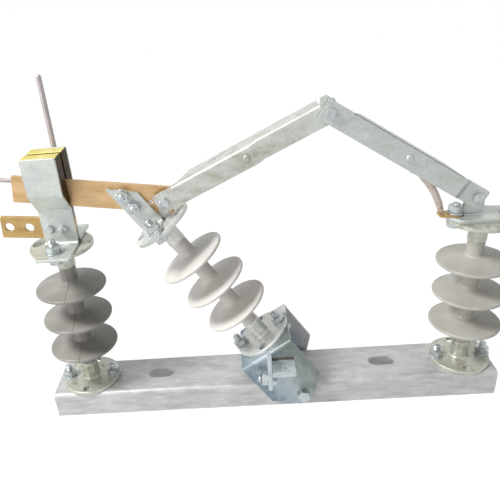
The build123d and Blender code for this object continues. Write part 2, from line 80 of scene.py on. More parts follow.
POST_HEIGHT = 260
FLANGE_RADIUS = 48
FLANGE_THICKNESS = 6
BOLT_REACH = 38
FLANGE_HOLE = 7
SOCKET_RADIUS = 14
SOCKET_END = 38
CRIMP_LOW = 18
CRIMP_HIGH = 32
SHEATH_RADIUS = 13
SHED_RADIUS = 55
SHED_RIM = 5
SHED_LEVELS = (72.5, 128, 183.5)

BRACKET_MIDDLE = -2
BRACKET_HALF = 47
BRACKET_WALL = 5
BRACKET_TOP = 104
CHEEK_FACE = 55
SHOULDER = 20
HEEL_HALF = 18
HEEL_DROP = 15
PIN_PLACE = (20, 57)
LUG_FRONT = -88
LUG_LOW = 95
LUG_HIGH = 104
GUSSET_LEFT = -8
GUSSET_WALL = 6

CARRIER_LEFT = -28
CARRIER_WIDTH = 34
CARRIER_TALL = 92
CARRIER_SHORT = 73.5
CARRIER_WALL = 5
CARRIER_FACE = 8
CARRIER_FOOT = 46
CARRIER_BOLTS = ((-14, 433), (-13, 409))
BLADE_HALF = 3
BLADE_HALF_WIDTH = 20
BLADE_TAIL = 14
BLADE_PAST_JAW = 56
BLADE_HOLE = (-20.7, -6.4)
TIP_ROD_RADIUS = 3
TIP_ROD_LENGTH = 62

ARM_HALF = 15
ARM_END = 12
ARM_WALL = 5
OUTER_FACE = -14.8
INNER_FACE = -8.3
LEDGE_BACK = 25.2
TAB_HALF = 9
LEFT_RIVET = 134
RIGHT_RIVET = 130
STEM_RADIUS = 3.8

HINGE_PLATE = 6
PLATE_HALF = 50
PLATE_HALF_WIDTH = 25
EAR_FACE = 3
EAR_HALF = 14.5
LUG_WALL = 3
LUG_HALF = 10
LUG_CLIMB = radians(-52)

STRIP_HALF = 25
STRIP_WALL = 4
STRIP_FACE = 7
STRIP_SET = 24
STRIP_FOOT = 55
CLAMP_HALF = 10.5
PAD_FACE = 3
PAD_HALF_WIDTH = 17
PAD_LEFT = -84
PAD_RIGHT = 28
PAD_HOLE = 7
PAD_HOLES = (-72, -42)
HORN_RADIUS = 4
HORN_WELD = (402, 440)

# Bolt sizes: shank, across flats, head height, nut height, thread pitch, washer radius
M8 = (8, 13, 5.3, 6.5, 1.25, 8)
M10 = (10, 17, 6.4, 8, 1.5, 10)
M12 = (12, 19, 7.5, 10, 1.75, 12)
WASHER = 2.2
SHORT_THREAD = 6
LONG_THREAD = 12

# ---- places --------------------------------------------------------------------------------------
def turned(point, climb):
    """The place whose X runs along a bar that climbs by that angle from (x, z)."""
    return Matrix.Translation((point[0], 0, point[1])) @ Matrix.Rotation(-climb, 4, "Y")


def middle(node):
    """Middle of a CAD node's box as (x, z) in millimetres."""
    low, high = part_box(node)
    return (low.x + high.x) * 500, (low.z + high.z) * 500


def heading(start, end):
    """Length and climb from one (x, z) point to another."""
    return hypot(end[0] - start[0], end[1] - start[1]), atan2(end[1] - start[1], end[0] - start[0])


joint_at = {
    joint["name"]: (1000 * joint["pos_m"][0], 1000 * joint["pos_m"][2])
    for joint in record["behaviour"]["joints"]
}
PIVOT, HINGE, KNEE = joint_at["tilt"], joint_at["hinge"], joint_at["knee"]
BLADE_PIVOT = middle("blade_pivot_bolt")
PAD_MIDDLE = middle("jaw_clamp_bolts")
LEFT_LENGTH, LEFT_CLIMB = heading(BLADE_PIVOT, KNEE)
RIGHT_LENGTH, RIGHT_CLIMB = heading(KNEE, HINGE)

TILT = turned(PIVOT, LEAN)
LEFT_BAR = turned(BLADE_PIVOT, LEFT_CLIMB)
RIGHT_BAR = turned(KNEE, RIGHT_CLIMB)
BLADE_BAR = turned(BLADE_PIVOT, -BLADE_SLOPE)
PAD_BAR = turned(PAD_MIDDLE, -PAD_SLOPE)
JAW_POST = turned((middle("left_bottom_flange")[0], CHANNEL_HEIGHT), 0)
HINGE_POST = turned((middle("right_bottom_flange")[0], CHANNEL_HEIGHT), 0)
TILT_POST = TILT @ Matrix.Translation((BRACKET_MIDDLE, 0, BRACKET_TOP))

TO_FRONT = Matrix.Rotation(radians(90), 4, "X")
TO_REAR = Matrix.Rotation(radians(-90), 4, "X")
TO_LEFT = Matrix.Rotation(radians(-90), 4, "Y")
UPSIDE_DOWN = Matrix.Rotation(radians(180), 4, "X")


def at(x, y, z):
    return Matrix.Translation((x, y, z))


# ---- the bench -----------------------------------------------------------------------------------
def take_up(*pieces):
    """Selects these pieces alone. Operators work on the first."""
    bpy.ops.object.select_all(action="DESELECT")
    for piece in pieces:
        piece.select_set(True)
    bpy.context.view_layer.objects.active = pieces[0]


def added(name):
    """The primitive just added, with its place moved into its mesh."""
    bpy.ops.object.transform_apply()
    bpy.context.active_object.name = name
    return bpy.context.active_object


def block(name, low, high):
    low, high = Vector(low), Vector(high)
    bpy.ops.object.select_all(action="DESELECT")
    bpy.ops.mesh.primitive_cube_add(size=1, location=(low + high) / 2, scale=high - low)
    return added(name)


def bar(name, radius, low, high, sides=48):
    """A round bar along Z."""
    bpy.ops.object.select_all(action="DESELECT")
    bpy.ops.mesh.primitive_cylinder_add(
        vertices=sides, radius=radius, depth=high - low, location=(0, 0, (low + high) / 2)
    )
    return added(name)


@contextmanager
def editing(piece):
    take_up(piece)
    bpy.ops.object.mode_set(mode="EDIT")
    yield
    bpy.ops.object.mode_set(mode="OBJECT")


def pick(kind, wanted):
    """Selects what wanted(middle, way) accepts: way is a face's or corner's normal, or an edge's run."""
    bpy.ops.mesh.select_mode(type=kind)
    bpy.ops.mesh.select_all(action="DESELECT")
    shape = bmesh.from_edit_mesh(bpy.context.edit_object.data)
    if kind == "FACE":
        found = [face for face in shape.faces if wanted(face.calc_center_median(), face.normal)]
    elif kind == "EDGE":
        runs = [(edge, *(corner.co for corner in edge.verts)) for edge in shape.edges]
        found = [edge for edge, start, end in runs if wanted((start + end) / 2, (end - start).normalized())]
    else:
        found = [corner for corner in shape.verts if wanted(corner.co, corner.normal)]
    for part in found:
        part.select_set(True)
    shape.select_flush_mode()


def pull(move, scale=(1, 1, 1), about=(0, 0, 0)):
    """Extrudes what is selected, then scales the new part about a point."""
    bpy.ops.mesh.extrude_region_move(TRANSFORM_OT_translate={"value": move})
    bpy.ops.transform.resize(value=scale, center_override=about)


def score(point, across):
    """Divides the whole piece along a plane."""
    bpy.ops.mesh.select_all(action="SELECT")
    bpy.ops.mesh.bisect(plane_co=point, plane_no=across)


def slice_off(point, away, fill=True):
    """Cuts off what lies beyond a plane, on the side that away points to."""
    bpy.ops.mesh.select_all(action="SELECT")
    bpy.ops.mesh.bisect(plane_co=point, plane_no=away, use_fill=fill, clear_outer=True)


def round_off(size, segments, affect="EDGES"):
    bpy.ops.mesh.bevel(offset=size, segments=segments, affect=affect)


def tidy():
    """Merges doubled corners and turns all faces outwards."""
    bpy.ops.mesh.select_all(action="SELECT")
    bpy.ops.mesh.remove_doubles(threshold=0.005)
    bpy.ops.mesh.normals_make_consistent(inside=False)


def modify(piece, kind, **settings):
    take_up(piece)
    modifier = piece.modifiers.new(kind, kind)
    for setting, value in settings.items():
        setattr(modifier, setting, value)
    bpy.ops.object.modifier_apply(modifier=kind)


def cut(piece, cutter, way="DIFFERENCE"):
    modify(piece, "BOOLEAN", object=cutter, operation=way, solver="EXACT")
    bpy.data.objects.remove(cutter)


def ease(piece, width, segments=2):
    """Rounds every sharp edge."""
    modify(piece, "BEVEL", width=width, segments=segments, limit_method="ANGLE", angle_limit=radians(35))


def move(piece, place):
    take_up(piece)
    piece.matrix_world = place
    bpy.ops.object.transform_apply()
    return piece


def twin(piece, place=Matrix()):
    """A copy with its own mesh, moved to a place."""
    take_up(piece)
    bpy.ops.object.duplicate()
    return move(bpy.context.active_object, place)


def join(*pieces):
    take_up(*pieces)
    bpy.ops.object.join()
    return pieces[0]


def drill(piece, radius, reach, *places):
    """Round holes along the Z of each place."""
    cut(piece, join(*[move(bar("drill", radius, -reach, reach), place) for place in places]))


def mirrored(piece):
    """The piece's copy on the other side of the switch's middle plane."""
    other = twin(piece, Matrix.Scale(-1, 4, (0, 1, 0)))
    with editing(other):
        tidy()
    return other


def lathe(name, profile, rounding=(), steps=48):
    """Turns a line of (radius, height) points round Z.

    rounding lists (number of the point, size, segments) for the corners to be rounded.
    """
    bpy.ops.object.select_all(action="DESELECT")
    bpy.ops.mesh.primitive_plane_add(size=2)
    piece = added(name)
    with editing(piece):
        pick("VERT", lambda spot, way: spot.x < 0 or spot.y < 0)
        bpy.ops.mesh.delete(type="VERT")
        bpy.ops.mesh.select_all(action="SELECT")
        bpy.ops.transform.translate(value=(profile[0][0] - 1, -1, profile[0][1]))
        for before, after in zip(profile, profile[1:]):
            bpy.ops.mesh.extrude_region_move(
                TRANSFORM_OT_translate={"value": (after[0] - before[0], 0, after[1] - before[1])}
            )
        for number, size, segments in rounding:
            corner = Vector((profile[number][0], 0, profile[number][1]))
            pick("VERT", lambda spot, way: (spot - corner).length < 0.001)
            round_off(size, segments, "VERTICES")
        bpy.ops.mesh.select_all(action="SELECT")
        bpy.ops.mesh.spin(steps=steps, angle=2 * pi, center=(0, 0, 0), axis=(0, 0, 1))
        tidy()
    return piece


def ribbon(name, path, bend, low, high):
    """The face of a strip that runs from low to high along X and is folded along (y, z) points.

    Its faces look to the left of the path, so that thicken() puts the wall on the right. A bend of 0
    leaves the folds sharp.
    """
    bpy.ops.object.select_all(action="DESELECT")
    bpy.ops.mesh.primitive_plane_add(size=1, location=(0.5, 0, 0))
    piece = added(name)
    with editing(piece):
        for end, (y, z) in ((-0.5, path[0]), (0.5, path[1])):
            pick("VERT", lambda spot, way: abs(spot.y - end) + abs(spot.z) < 0.001)
            bpy.ops.transform.translate(value=(0, y - end, z))
        for before, after in zip(path[1:], path[2:]):
            pick("VERT", lambda spot, way: hypot(spot.y - before[0], spot.z - before[1]) < 0.001)
            pull((0, after[0] - before[0], after[1] - before[1]))
        bpy.ops.mesh.select_all(action="SELECT")
        bpy.ops.transform.resize(value=(high - low, 1, 1), center_override=(0, 0, 0))
        bpy.ops.transform.translate(value=(low, 0, 0))
        bpy.ops.mesh.normals_make_consistent(inside=False)
        for start, corner, end in zip(path, path[1:], path[2:]) if bend else ():
            angle = (Vector(corner) - Vector(start)).angle(Vector(end) - Vector(corner))
            pick("EDGE", lambda spot, way: hypot(spot.y - corner[0], spot.z - corner[1]) < 0.001)
            round_off(bend * tan(angle / 2), 5)
        first = min(
            bmesh.from_edit_mesh(piece.data).faces,
            key=lambda face: (face.calc_center_median() - Vector(((low + high) / 2, *path[0]))).length,
        )
        if first.normal.y * (path[0][1] - path[1][1]) + first.normal.z * (path[1][0] - path[0][0]) < 0:
            bpy.ops.mesh.select_all(action="SELECT")
            bpy.ops.mesh.flip_normals()
    return piece


def thicken(piece, wall):
    modify(piece, "SOLIDIFY", thickness=wall, offset=-1, use_even_offset=True)
    with editing(piece):
        tidy()


def bead(name, start, end, radius):
    """A weld run: a round bead whose ripples swell and narrow every 2 mm or so."""
    start, end = Vector(start), Vector(end)
    length = (end - start).length
    run = bar(name, radius, 0, length, 10)
    ripples = 2 * round(length / 4)
    with editing(run):
        for ripple in range(1, ripples):
            score((0, 0, length * ripple / ripples), (0, 0, 1))
        for ripple in range(0, ripples + 1, 2):
            level = length * ripple / ripples
            pick("VERT", lambda spot, way: abs(spot.z - level) < 0.01)
            bpy.ops.transform.resize(value=(0.78, 0.78, 1), center_override=(0, 0, level))
        tidy()
    turn = (end - start).to_track_quat("Z", "Y").to_matrix().to_4x4()
    return move(run, Matrix.Translation(start) @ turn)


def fit(piece, name, finish, node, place=Matrix(), stands_in=True):
    """Puts a piece in its place. It rides with a CAD node and stands for it unless told otherwise."""
    move(piece, Matrix.Scale(0.001, 4) @ place)
    bpy.ops.object.shade_smooth_by_angle(angle=radians(50))
    modify(piece, "WEIGHTED_NORMAL", keep_sharp=True)
    piece.name = piece.data.name = name
    piece.data.materials.clear()
    piece.data.materials.append(finish)
    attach(piece, body_of_node[node])
    if stands_in:
        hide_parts(node)
    return piece


# ---- finishes ------------------------------------------------------------------------------------
def tint(code):
    """An sRGB colour as linear RGBA."""
    parts = [int(code[place:place + 2], 16) / 255 for place in (1, 3, 5)]
    return [*(part / 12.92 if part <= 0.04045 else ((part + 0.055) / 1.055) ** 2.4 for part in parts), 1]


def put(tree, kind, links=None, stops=None, **settings):
    """Adds a node. links maps its sockets to values or to other nodes' outputs."""
    node = tree.nodes.new("ShaderNode" + kind)
    for setting, value in settings.items():
        setattr(node, setting, value)
    for socket, value in (links or {}).items():
        if isinstance(value, bpy.types.NodeSocket):
            tree.links.new(value, node.inputs[socket])
        else:
            node.inputs[socket].default_value = value
    if stops:
        ends = node.color_ramp.elements
        ends[0].position, ends[1].position = stops[0][0], stops[-1][0]
        ends[0].color, ends[1].color = tint(stops[0][1]), tint(stops[-1][1])
        for position, code in stops[1:-1]:
            ends.new(position).color = tint(code)
    return node


def begin(name, metallic, roughness, **more):
    """A new material with its tree, its shader and its object coordinates."""
    material = bpy.data.materials.new(name)
    material.use_nodes = True
    tree = material.node_tree
    shader = tree.nodes["Principled BSDF"]
    shader.inputs["Metallic"].default_value = metallic
    shader.inputs["Roughness"].default_value = roughness
    for socket, value in more.items():
        shader.inputs[socket.replace("_", " ")].default_value = value
    return material, tree, shader, put(tree, "TexCoord").outputs["Object"]


def worked_metal(name, tones, grain, patches, patch, metallic, roughness, relief, climb=0, share=0.5):
    """A metal with a fine grain of several tones and broader patches over it.

    grain and patch are sizes in millimetres along, across and up the piece, which climbs by an angle.
    relief is the depth of the finest unevenness in millimetres, and share the weight of the patches.
    """
    material, tree, shader, spot = begin(name, metallic, roughness)
    along = put(tree, "Mapping", {"Vector": spot, "Rotation": (0, -climb, 0)}, vector_type="TEXTURE")
    fine = put(tree, "Mapping", {"Vector": along.outputs[0], "Scale": [1000 / size for size in grain]})
    broad = put(tree, "Mapping", {"Vector": along.outputs[0], "Scale": [1000 / size for size in patch]})
    streaks = put(
        tree, "TexNoise", {"Vector": fine.outputs[0], "Scale": 1, "Detail": 3, "Roughness": 0.6}
    )
    grains = put(tree, "ValToRGB", {"Fac": streaks.outputs["Fac"]}, tones)
    clouds = put(
        tree, "TexNoise", {"Vector": broad.outputs[0], "Scale": 1, "Detail": 4, "Roughness": 0.65}
    )
    stain = put(tree, "ValToRGB", {"Fac": clouds.outputs["Fac"]}, patches)
    both = put(tree, "Mix", {0: share, 6: grains.outputs[0], 7: stain.outputs[0]}, data_type="RGBA")
    tree.links.new(both.outputs[2], shader.inputs["Base Color"])
    sheen = put(
        tree, "MapRange",
        {0: clouds.outputs["Fac"], 1: 0.3, 2: 0.7, 3: roughness - 0.08, 4: roughness + 0.1},
    )
    tree.links.new(sheen.outputs[0], shader.inputs["Roughness"])
    uneven = put(tree, "TexNoise", {"Vector": along.outputs[0], "Scale": 1000 / 3.5, "Detail": 3})
    bump = put(tree, "Bump", {"Height": uneven.outputs["Fac"], "Distance": relief / 1000, "Strength": 0.7})
    tree.links.new(bump.outputs[0], shader.inputs["Normal"])
    return material


def galvanised_plate(name, tones, patches):
    """Hot-dip galvanised plate: a frosty zinc coat mottled 5 mm across, with clouds about 35 mm long."""
    return worked_metal(name, tones, (5, 5, 5), patches, (34, 20, 14), 0.55, 0.42, 0.15, share=0.55)


def drawn_channel():
    """Hot-dip galvanised steel channel: dull neutral grey zinc, cloudy, with smears dragged along it.

    Smears are 22 mm long and 7 mm wide; the clouds are 60 mm long.
    """
    return worked_metal(
        "galvanised_channel",
        [(0.25, "#A8A8A9"), (0.5, "#C5C5C5"), (0.75, "#E2E2E1")], (22, 7, 6),
        [(0.28, "#A8A7A3"), (0.5, "#C9C9C8"), (0.72, "#E1E1E0")], (60, 24, 14),
        0.35, 0.45, 0.2,
    )


def forged_flange(name, tones, blots):
    """Galvanised forging: zinc gone beige by passivation, with brown dirt in blots about 14 mm across."""
    return worked_metal(name, tones, (5, 5, 5), blots, (16, 16, 16), 0.45, 0.34, 0.15)


def plated_fastener():
    """Zinc-plated steel: bright and slightly blue, with grey-brown stains about 12 mm apart."""
    return worked_metal(
        "zinc_plated_steel",
        [(0.3, "#AFB6B8"), (0.5, "#C0C7C9"), (0.7, "#D2D8DA")], (6, 6, 6),
        [(0.3, "#8D8C86"), (0.42, "#B4BABB"), (0.7, "#D3D8D9")], (12, 12, 12),
        0.75, 0.28, 0.02,
    )


def drawn_rod():
    """Drawn steel rod: grey-pink mill surface, with streaks 40 mm long and 1.5 mm wide along it."""
    return worked_metal(
        "drawn_steel_rod",
        [(0.3, "#A49A9A"), (0.5, "#B9B0B0"), (0.7, "#CFC8C8")], (1.5, 1.5, 40),
        [(0.3, "#A0938F"), (0.6, "#C0B8B8")], (20, 20, 30),
        0.5, 0.32, 0.04,
    )


def rolled_copper_alloy(name, climb, tones, clouds):
    """Rolled copper alloy bar: warm gold-brown, with broad faint streaks and soft brown oxide clouds."""
    return worked_metal(name, tones, (40, 6, 6), clouds, (34, 14, 14), 0.6, 0.38, 0.06, climb, 0.6)


def weld(name, tones, metallic, roughness):
    """Weld metal: rippled, in tones 3 mm across."""
    return worked_metal(name, tones, (3, 3, 3), tones, (9, 9, 9), metallic, roughness, 0.4)


def bright_bracket():
    """Bright zinc on plate: a cold, half-glossy coat that runs from slate blue to pale grey.

    The change takes the length of the cheek, with cloudy mottling 20 mm across and a fine grain. The rear
    cheek is painted paler, a painted light that lifts it out of the shade that falls on it.
    """
    material, tree, shader, spot = begin("bright_zinc_plate", 0.55, 0.34)
    own = put(
        tree, "Mapping",
        {"Vector": spot, "Location": (PIVOT[0] / 1000, 0, PIVOT[1] / 1000), "Rotation": (0, -LEAN, 0)},
        vector_type="TEXTURE",
    )
    parts = put(tree, "SeparateXYZ", {0: own.outputs[0]})
    low, high = (BRACKET_MIDDLE - BRACKET_HALF) / 1000, (BRACKET_MIDDLE + BRACKET_HALF) / 1000
    run = put(tree, "MapRange", {0: parts.outputs[0], 1: low, 2: high, 3: 0, 4: 1})
    clouds = put(
        tree, "TexNoise", {"Vector": own.outputs[0], "Scale": 1000 / 20, "Detail": 5, "Roughness": 0.6}
    )
    mixed = put(tree, "Math", {0: clouds.outputs["Fac"], 1: 0.8, 2: -0.4}, operation="MULTIPLY_ADD")
    place = put(tree, "Math", {0: run.outputs[0], 1: mixed.outputs[0]}, operation="ADD", use_clamp=True)
    colour = put(
        tree, "ValToRGB", {"Fac": place.outputs[0]},
        [(0, "#7C8B96"), (0.25, "#A3B1BA"), (0.45, "#B4BFC4"), (0.7, "#98A1A0"), (1, "#7A8580")],
    )
    # Painted light: the rear cheek takes this paler ramp in place of the shade that falls on it.
    painted_light_rear = put(
        tree, "ValToRGB", {"Fac": place.outputs[0]},
        [(0.4, "#7C8EA0"), (0.65, "#C6CFDA"), (0.9, "#E9E9EC")],
    )
    at_rear = put(tree, "MapRange", {0: parts.outputs[1], 1: 0.02, 2: 0.03, 3: 0, 4: 1})
    both = put(
        tree, "Mix", {0: at_rear.outputs[0], 6: colour.outputs[0], 7: painted_light_rear.outputs[0]}, data_type="RGBA"
    )
    tree.links.new(both.outputs[2], shader.inputs["Base Color"])
    sheen = put(tree, "MapRange", {0: clouds.outputs["Fac"], 1: 0.3, 2: 0.7, 3: 0.22, 4: 0.42})
    tree.links.new(sheen.outputs[0], shader.inputs["Roughness"])
    uneven = put(tree, "TexNoise", {"Vector": own.outputs[0], "Scale": 1000 / 3, "Detail": 3})
    bump = put(tree, "Bump", {"Height": uneven.outputs["Fac"], "Distance": 0.0001, "Strength": 0.6})
    tree.links.new(bump.outputs[0], shader.inputs["Normal"])
    return material


def sawn_brass():
    """Sawn brass contact: yellow on top, with saw lines 1.5 mm apart; the faces that do not look up carry a
    painted shade of dark brown.
    """
    material, tree, shader, spot = begin("sawn_brass", 0.3, 0.5, Specular_IOR_Level=0.1)
    strokes = put(tree, "Mapping", {"Vector": spot, "Scale": (25, 25, 650)})
    saw = put(tree, "TexNoise", {"Vector": strokes.outputs[0], "Scale": 1, "Detail": 2})
    brass_top = put(
        tree, "ValToRGB", {"Fac": saw.outputs["Fac"]},
        [(0.3, "#CDBB62"), (0.5, "#DDD07E"), (0.7, "#ECE39C")],
    )
    # Painted shade: dark brown, mottled 9 mm across, on every face that does not look up, for the shade on
    # the contacts' sides.
    blots = put(tree, "TexNoise", {"Vector": spot, "Scale": 1000 / 9, "Detail": 4})
    painted_shade_sides = put(tree, "ValToRGB", {"Fac": blots.outputs["Fac"]}, [(0.35, "#241A0C"), (0.6, "#463417")])
    facing = put(tree, "SeparateXYZ", {0: put(tree, "NewGeometry").outputs["Normal"]})
    on_top = put(tree, "MapRange", {0: facing.outputs[2], 1: 0.35, 2: 0.7, 3: 0, 4: 1})
    colour = put(
        tree, "Mix", {0: on_top.outputs[0], 6: painted_shade_sides.outputs[0], 7: brass_top.outputs[0]}, data_type="RGBA"
    )
    tree.links.new(colour.outputs[2], shader.inputs["Base Color"])
    bump = put(tree, "Bump", {"Height": saw.outputs["Fac"], "Distance": 0.00012, "Strength": 0.7})
    tree.links.new(bump.outputs[0], shader.inputs["Normal"])
    return material


def moulded_silicone(post, place, lean, seam, line_tone, tones):
    """Moulded silicone rubber: matt and dusty, with the dark parting line of its mould.

    The line is 0.5 mm wide on the real housing and drawn 1 mm wide, so that it shows. seam is the
    angle round the post at which it faces, from the front, and line_tone its colour.
    """
    material, tree, shader, spot = begin("moulded_silicone_" + post, 0, 0.36, Specular_IOR_Level=0.5)
    own = put(
        tree, "Mapping",
        {"Vector": spot, "Location": place.to_translation() / 1000, "Rotation": (0, -lean, 0)},
        vector_type="TEXTURE",
    )
    round_post = put(tree, "Mapping", {"Vector": own.outputs[0], "Rotation": (0, 0, -seam)})
    parts = put(tree, "SeparateXYZ", {0: round_post.outputs[0]})
    off_line = put(tree, "Math", {0: parts.outputs[0]}, operation="ABSOLUTE")
    near = put(tree, "MapRange", {0: off_line.outputs[0], 1: 0.0003, 2: 0.0007, 3: 1, 4: 0})
    front = put(tree, "Math", {0: parts.outputs[1], 1: 0}, operation="LESS_THAN")
    line = put(tree, "Math", {0: near.outputs[0], 1: front.outputs[0]}, operation="MULTIPLY")
    dust = put(
        tree, "TexNoise", {"Vector": own.outputs[0], "Scale": 1000 / 40, "Detail": 3, "Roughness": 0.5}
    )
    body = put(tree, "ValToRGB", {"Fac": dust.outputs["Fac"]}, tones)
    colour = put(
        tree, "Mix", {0: line.outputs[0], 6: body.outputs[0], 7: tint(line_tone)}, data_type="RGBA"
    )
    tree.links.new(colour.outputs[2], shader.inputs["Base Color"])
    grain = put(tree, "TexNoise", {"Vector": own.outputs[0], "Scale": 1000 / 2, "Detail": 2})
    height = put(
        tree, "Math", {0: grain.outputs["Fac"], 1: 0.25, 2: line.outputs[0]}, operation="MULTIPLY_ADD"
    )
    bump = put(tree, "Bump", {"Height": height.outputs[0], "Distance": 0.0003, "Strength": 0.5})
    tree.links.new(bump.outputs[0], shader.inputs["Normal"])
    return material


def woven_copper():
    """Woven tinned copper braid: pinkish silver strands crossing at a slant, brown in the hollows.

    Real strands are 0.2 mm; the weave is drawn in plaits 2.4 mm wide, so that it shows.
    """
    material, tree, shader, _ = begin("woven_tinned_copper", 0.8, 0.38)
    unwrapped = put(tree, "TexCoord").outputs["UV"]
    waves = []
    for slant in (1, -1):
        across = put(
            tree, "Mapping",
            {"Vector": unwrapped, "Scale": (90, 14, 1), "Rotation": (0, 0, slant * pi / 4)},
        )
        wave = put(tree, "TexWave", {"Vector": across.outputs[0], "Scale": 0.32}, wave_profile="SIN")
        waves.append(wave.outputs["Fac"])
    weave = put(tree, "Math", {0: waves[0], 1: waves[1]}, operation="MAXIMUM")
    colour = put(
        tree, "ValToRGB", {"Fac": weave.outputs[0]},
        [(0.2, "#85604E"), (0.5, "#CDB6AA"), (0.9, "#F0E8E2")],
    )
    tree.links.new(colour.outputs[0], shader.inputs["Base Color"])
    bump = put(tree, "Bump", {"Height": weave.outputs[0], "Distance": 0.0006, "Strength": 0.9})
    tree.links.new(bump.outputs[0], shader.inputs["Normal"])
    return material


plate_zinc = galvanised_plate(
    "galvanised_plate", [(0.3, "#BCC2BF"), (0.5, "#CBD0CC"), (0.7, "#DADEDA")],
    [(0.3, "#B4BBB8"), (0.48, "#C8CDC9"), (0.62, "#D3D7D0"), (0.75, "#C9CBB8")],
)
left_bar_zinc = galvanised_plate(
    "weathered_galvanised_bar", [(0.3, "#B6BAB5"), (0.5, "#C7CAC4"), (0.7, "#D8DAD6")],
    [(0.3, "#958B76"), (0.42, "#B9B7A9"), (0.54, "#CDD0CA"), (0.75, "#E0E3E0")],
)
right_bar_zinc = galvanised_plate(
    "cool_galvanised_bar", [(0.3, "#B6BCBA"), (0.5, "#C7CCC9"), (0.7, "#D7DCDA")],
    [(0.3, "#B3B1A1"), (0.42, "#BCC2BE"), (0.6, "#CAD0CD"), (0.75, "#DCE1DF")],
)
channel_zinc = drawn_channel()
flange_zinc = forged_flange(
    "galvanised_forging", [(0.3, "#ACAB9D"), (0.5, "#C4C5B9"), (0.7, "#DADCD4")],
    [(0.3, "#8C7E63"), (0.42, "#BCBBAC"), (0.6, "#CDCFC6"), (0.8, "#E2E5E2")],
)
cleaner_flange_zinc = forged_flange(
    "cleaner_galvanised_forging", [(0.3, "#CCCFCB"), (0.5, "#DEE1DE"), (0.7, "#F0F2F0")],
    [(0.3, "#AFA58E"), (0.4, "#D4D6CE"), (0.6, "#E2E4E0"), (0.8, "#F2F4F3")],
)
fastener_zinc = plated_fastener()
bracket_zinc = bright_bracket()
# Zinc for the lug and its gusset, paler than the bracket's: painted light, for the light that falls on
# their top and left faces.
lug_zinc_painted_light = galvanised_plate(
    "bright_zinc_lug", [(0.3, "#BFC8CD"), (0.5, "#CDD5D9"), (0.7, "#DBE2E5")],
    [(0.3, "#ADB6BA"), (0.5, "#CBD3D7"), (0.7, "#DCE2E5")],
)
rod_steel = drawn_rod()
blade_alloy = rolled_copper_alloy(
    "rolled_copper_alloy", -BLADE_SLOPE, [(0.3, "#C7A26E"), (0.5, "#D3B081"), (0.7, "#DFC093")],
    [(0.25, "#A2764A"), (0.4, "#CBA676"), (0.6, "#DAB98D"), (0.8, "#E9D4B3")],
)
pad_alloy = rolled_copper_alloy(
    "dulled_copper_alloy", -PAD_SLOPE, [(0.3, "#B08F56"), (0.5, "#BC9C64"), (0.7, "#C8A973")],
    [(0.25, "#8F6C3C"), (0.42, "#B4935A"), (0.6, "#C4A56E"), (0.8, "#D2B984")],
)
contact_brass = sawn_brass()
braid_copper = woven_copper()
rusty_weld = weld("rusted_weld", [(0.3, "#2E2A26"), (0.5, "#57514A"), (0.75, "#8F8A80")], 0.3, 0.7)
bright_weld = weld("bright_weld", [(0.3, "#8E9496"), (0.5, "#C2C6C6"), (0.75, "#ECEEEE")], 0.85, 0.3)

# ---- base channel --------------------------------------------------------------------------------
half_length, half_width = CHANNEL_LENGTH / 2, CHANNEL_WIDTH / 2
channel = ribbon(
    "channel",
    [(-half_width, 0), (-half_width, CHANNEL_HEIGHT), (half_width, CHANNEL_HEIGHT), (half_width, 0)],
    CHANNEL_CORNER, -half_length, half_length,
)
thicken(channel, CHANNEL_WALL)
for side in (-1, 1):
    middle_x = side * SLOT_SPACING / 2
    slot_punch = block(
        "slot_punch",
        (middle_x - SLOT_LENGTH / 2, -SLOT_WIDTH / 2, CHANNEL_HEIGHT - 2 * CHANNEL_WALL),
        (middle_x + SLOT_LENGTH / 2, SLOT_WIDTH / 2, CHANNEL_HEIGHT + CHANNEL_WALL),
    )
    with editing(slot_punch):
        pick("EDGE", lambda spot, way: abs(way.z) > 0.9)
        round_off(SLOT_WIDTH / 2 - 0.01, 12)
    cut(channel, slot_punch)
ease(channel, 0.8)
fit(channel, "channel", channel_zinc, "base_channel")

# ---- insulators ----------------------------------------------------------------------------------
# The housing is one line turned round the post: down the sheath, out under each shed and back over it.
housing_line = [(0, SOCKET_END), (SHEATH_RADIUS, SOCKET_END)]
housing_rounding = []
for level in SHED_LEVELS:
    first = len(housing_line)
    housing_line += [
        (SHEATH_RADIUS, level + 2), (SHED_RADIUS, level),
        (SHED_RADIUS, level + SHED_RIM), (SHEATH_RADIUS, level + SHED_RIM + 8),
    ]
    housing_rounding += [(first, 2, 4), (first + 1, 2, 4), (first + 2, 2, 4), (first + 3, 4, 5)]
housing_line += [(SHEATH_RADIUS, POST_HEIGHT - SOCKET_END), (0, POST_HEIGHT - SOCKET_END)]
housing = lathe("housing", housing_line, housing_rounding, steps=96)

flange = lathe(
    "flange",
    [
        (0, 0), (FLANGE_RADIUS, 0), (FLANGE_RADIUS, FLANGE_THICKNESS), (SOCKET_RADIUS, FLANGE_THICKNESS),
        (SOCKET_RADIUS, CRIMP_LOW), (SOCKET_RADIUS, CRIMP_HIGH), (SOCKET_RADIUS, SOCKET_END),
        (0, SOCKET_END),
    ],
    [(1, 0.8, 2), (2, 1.4, 3), (3, 3.5, 5), (6, 1.2, 3)], steps=96,
)
with editing(flange):
    pick(
        "FACE",
        lambda spot, way: CRIMP_LOW < spot.z < CRIMP_HIGH and hypot(spot.x, spot.y) > SOCKET_RADIUS - 1
        and atan2(spot.y, spot.x) % (pi / 4) < pi / 5,
    )
    bpy.ops.mesh.inset(thickness=1.6, depth=-0.9)
drill(
    flange, FLANGE_HOLE, 20,
    at(BOLT_REACH, 0, 0), at(0, BOLT_REACH, 0), at(-BOLT_REACH, 0, 0), at(0, -BOLT_REACH, 0),
)
ease(flange, 0.5)

